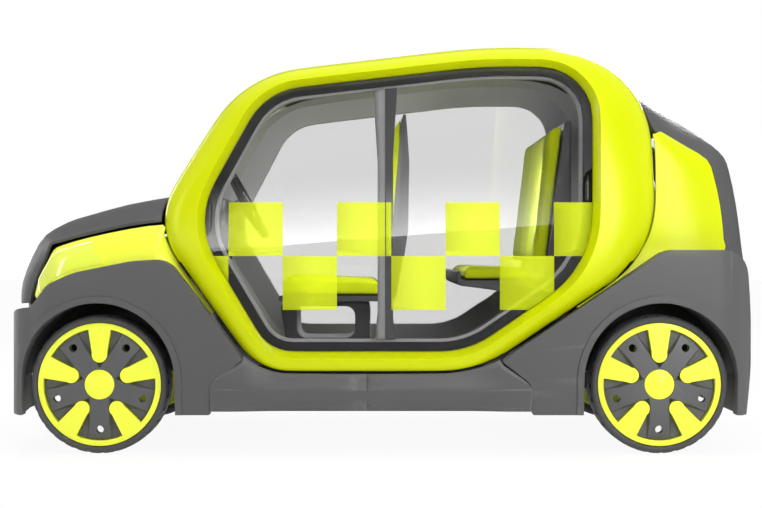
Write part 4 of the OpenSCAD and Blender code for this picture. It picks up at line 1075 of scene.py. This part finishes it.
# %% [markdown]
# Bars of a brighter red lie on the tail lamps, and a pale reflector lies on the inner side of each front
# lens;
# its faint glow is painted light that brightens the lamp. Both are sheets cut from the lamps, like the trims
# above.

# %% Lamp details
BAR_HALF = 0.006
BAR_THICKNESS = 0.0012
BAR_HEIGHTS = (0.480, 0.510, 0.540, 0.570)
REFLECTOR_LIFT = 0.0015
REFLECTOR_THICKNESS = 0.003


def rearward(face):
    """Picks the faces that look to the rear."""
    return face.normal.x < -0.5


def inward(side):
    """Picks the faces of one side of the car that look towards its middle."""
    return lambda face: face.calc_center_median().y * side > 0 and face.normal.y * side < -0.2


for number, height in enumerate(BAR_HEIGHTS):
    cuts = [
        (Vector((0, 0, height + BAR_HALF)), Vector((0, 0, 1))),
        (Vector((0, 0, height - BAR_HALF)), Vector((0, 0, -1))),
    ]
    trims.append(trim_sheet(
        f"lamp_bar_{number}", "tail_lamps", rearward, cuts, 0.0, BAR_THICKNESS, "bright_red"))
for side, word in SIDES:
    trims.append(trim_sheet(
        "lamp_reflector_" + word, "headlamps", inward(side), [], REFLECTOR_LIFT, REFLECTOR_THICKNESS,
        "reflector"))
print("lamp details:", len(BAR_HEIGHTS), "bars and", len(SIDES), "reflectors")

# %% [markdown]
# The chequers are a thin film on the outside of the door glass. A film for windows is printed so that it
# shows from outside and is see-through from the seats, so its back is clear. The pane's own outer faces are
# copied and cut at the columns and rows, and the fields that stay are lifted off the glass.

# %% Chequered window film
FIELD = 0.2085
COLUMN_START = 0.580
COLUMNS = range(-1, 7)
ROWS = (0.963, 0.756, 0.549)
FILM_LIFT = 0.0007
FILM_THICKNESS = 0.0004
FILM_CLEAR = 0.42
FILM_IOR = 1.02


def film_material():
    """A yellow filter: part of the light passes tinted, the rest is scattered yellow."""
    material = bpy.data.materials.new("yellow_film")
    material.use_nodes = True
    tree = material.node_tree
    surface = tree.nodes["Principled BSDF"]
    surface.inputs["Roughness"].default_value = 0.0
    surface.inputs["IOR"].default_value = FILM_IOR
    surface.inputs["Transmission Weight"].default_value = FILM_CLEAR
    place = tree.nodes.new("ShaderNodeTexCoord").outputs["Object"]
    toned = add_group(tree, PANEL_TONE)
    toned.inputs["Color"].default_value = (0.86, 1.0, 0.03, 1)
    toned.inputs["Amount"].default_value = 0.04
    back = tree.nodes.new("ShaderNodeNewGeometry").outputs["Backfacing"]
    cover = tree.nodes.new("ShaderNodeMath")
    cover.operation = "SUBTRACT"
    cover.inputs[0].default_value = 1.0
    tree.links.new(place, toned.inputs["Vector"])
    tree.links.new(toned.outputs["Color"], surface.inputs["Base Color"])
    tree.links.new(back, cover.inputs[1])
    tree.links.new(cover.outputs[0], surface.inputs["Alpha"])
    return material


def film_back_material():
    """The clear side of the film, towards the seats."""
    material = bpy.data.materials.new("film_back")
    material.use_nodes = True
    tree = material.node_tree
    clear = tree.nodes.new("ShaderNodeBsdfTransparent")
    tree.links.new(clear.outputs[0], tree.nodes["Material Output"].inputs[0])
    return material


FILM, FILM_BACK = film_material(), film_back_material()


def film(side, name):
    """Film on the door glass of one side, with every other field left clear."""
    bm = bmesh.new()
    bm.from_mesh(nodes["door_glass"].data)
    bmesh.ops.remove_doubles(bm, verts=bm.verts, dist=WELD)
    inner = [f for f in bm.faces if f.calc_center_median().y * side < 0 or f.normal.y * side < 0.7]
    bmesh.ops.delete(bm, geom=inner, context="FACES")
    cuts = [(Vector((COLUMN_START - k * FIELD, 0, 0)), Vector((1, 0, 0))) for k in COLUMNS]
    cuts += [(Vector((0, 0, z)), Vector((0, 0, 1))) for z in ROWS]
    for spot, normal in cuts:
        bmesh.ops.bisect_plane(
            bm, geom=bm.verts[:] + bm.edges[:] + bm.faces[:], plane_co=spot, plane_no=normal)
    bare = []
    for face in bm.faces:
        spot = face.calc_center_median()
        column = math.floor((COLUMN_START - spot.x) / FIELD)
        upper = ROWS[1] < spot.z < ROWS[0] and column % 2 == 0
        lower = ROWS[2] < spot.z < ROWS[1] and column % 2 == 1
        if not (upper or lower):
            bare.append(face)
    bmesh.ops.delete(bm, geom=bare, context="FACES")
    bmesh.ops.translate(bm, verts=bm.verts, vec=(0, side * FILM_LIFT, 0))
    for face in bm.faces:
        face.smooth = True
    piece = link_object(name, bm)
    sheet = piece.modifiers.new("sheet", "SOLIDIFY")
    sheet.thickness = FILM_THICKNESS
    sheet.offset = -1
    sheet.material_offset = 1
    sheet.material_offset_rim = 1
    piece.data.materials.append(FILM)
    piece.data.materials.append(FILM_BACK)
    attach(piece, "body")
    return piece


films = [film(1, "window_film_left"), film(-1, "window_film_right")]
print("film:", [len(f.data.polygons) for f in films], "faces")
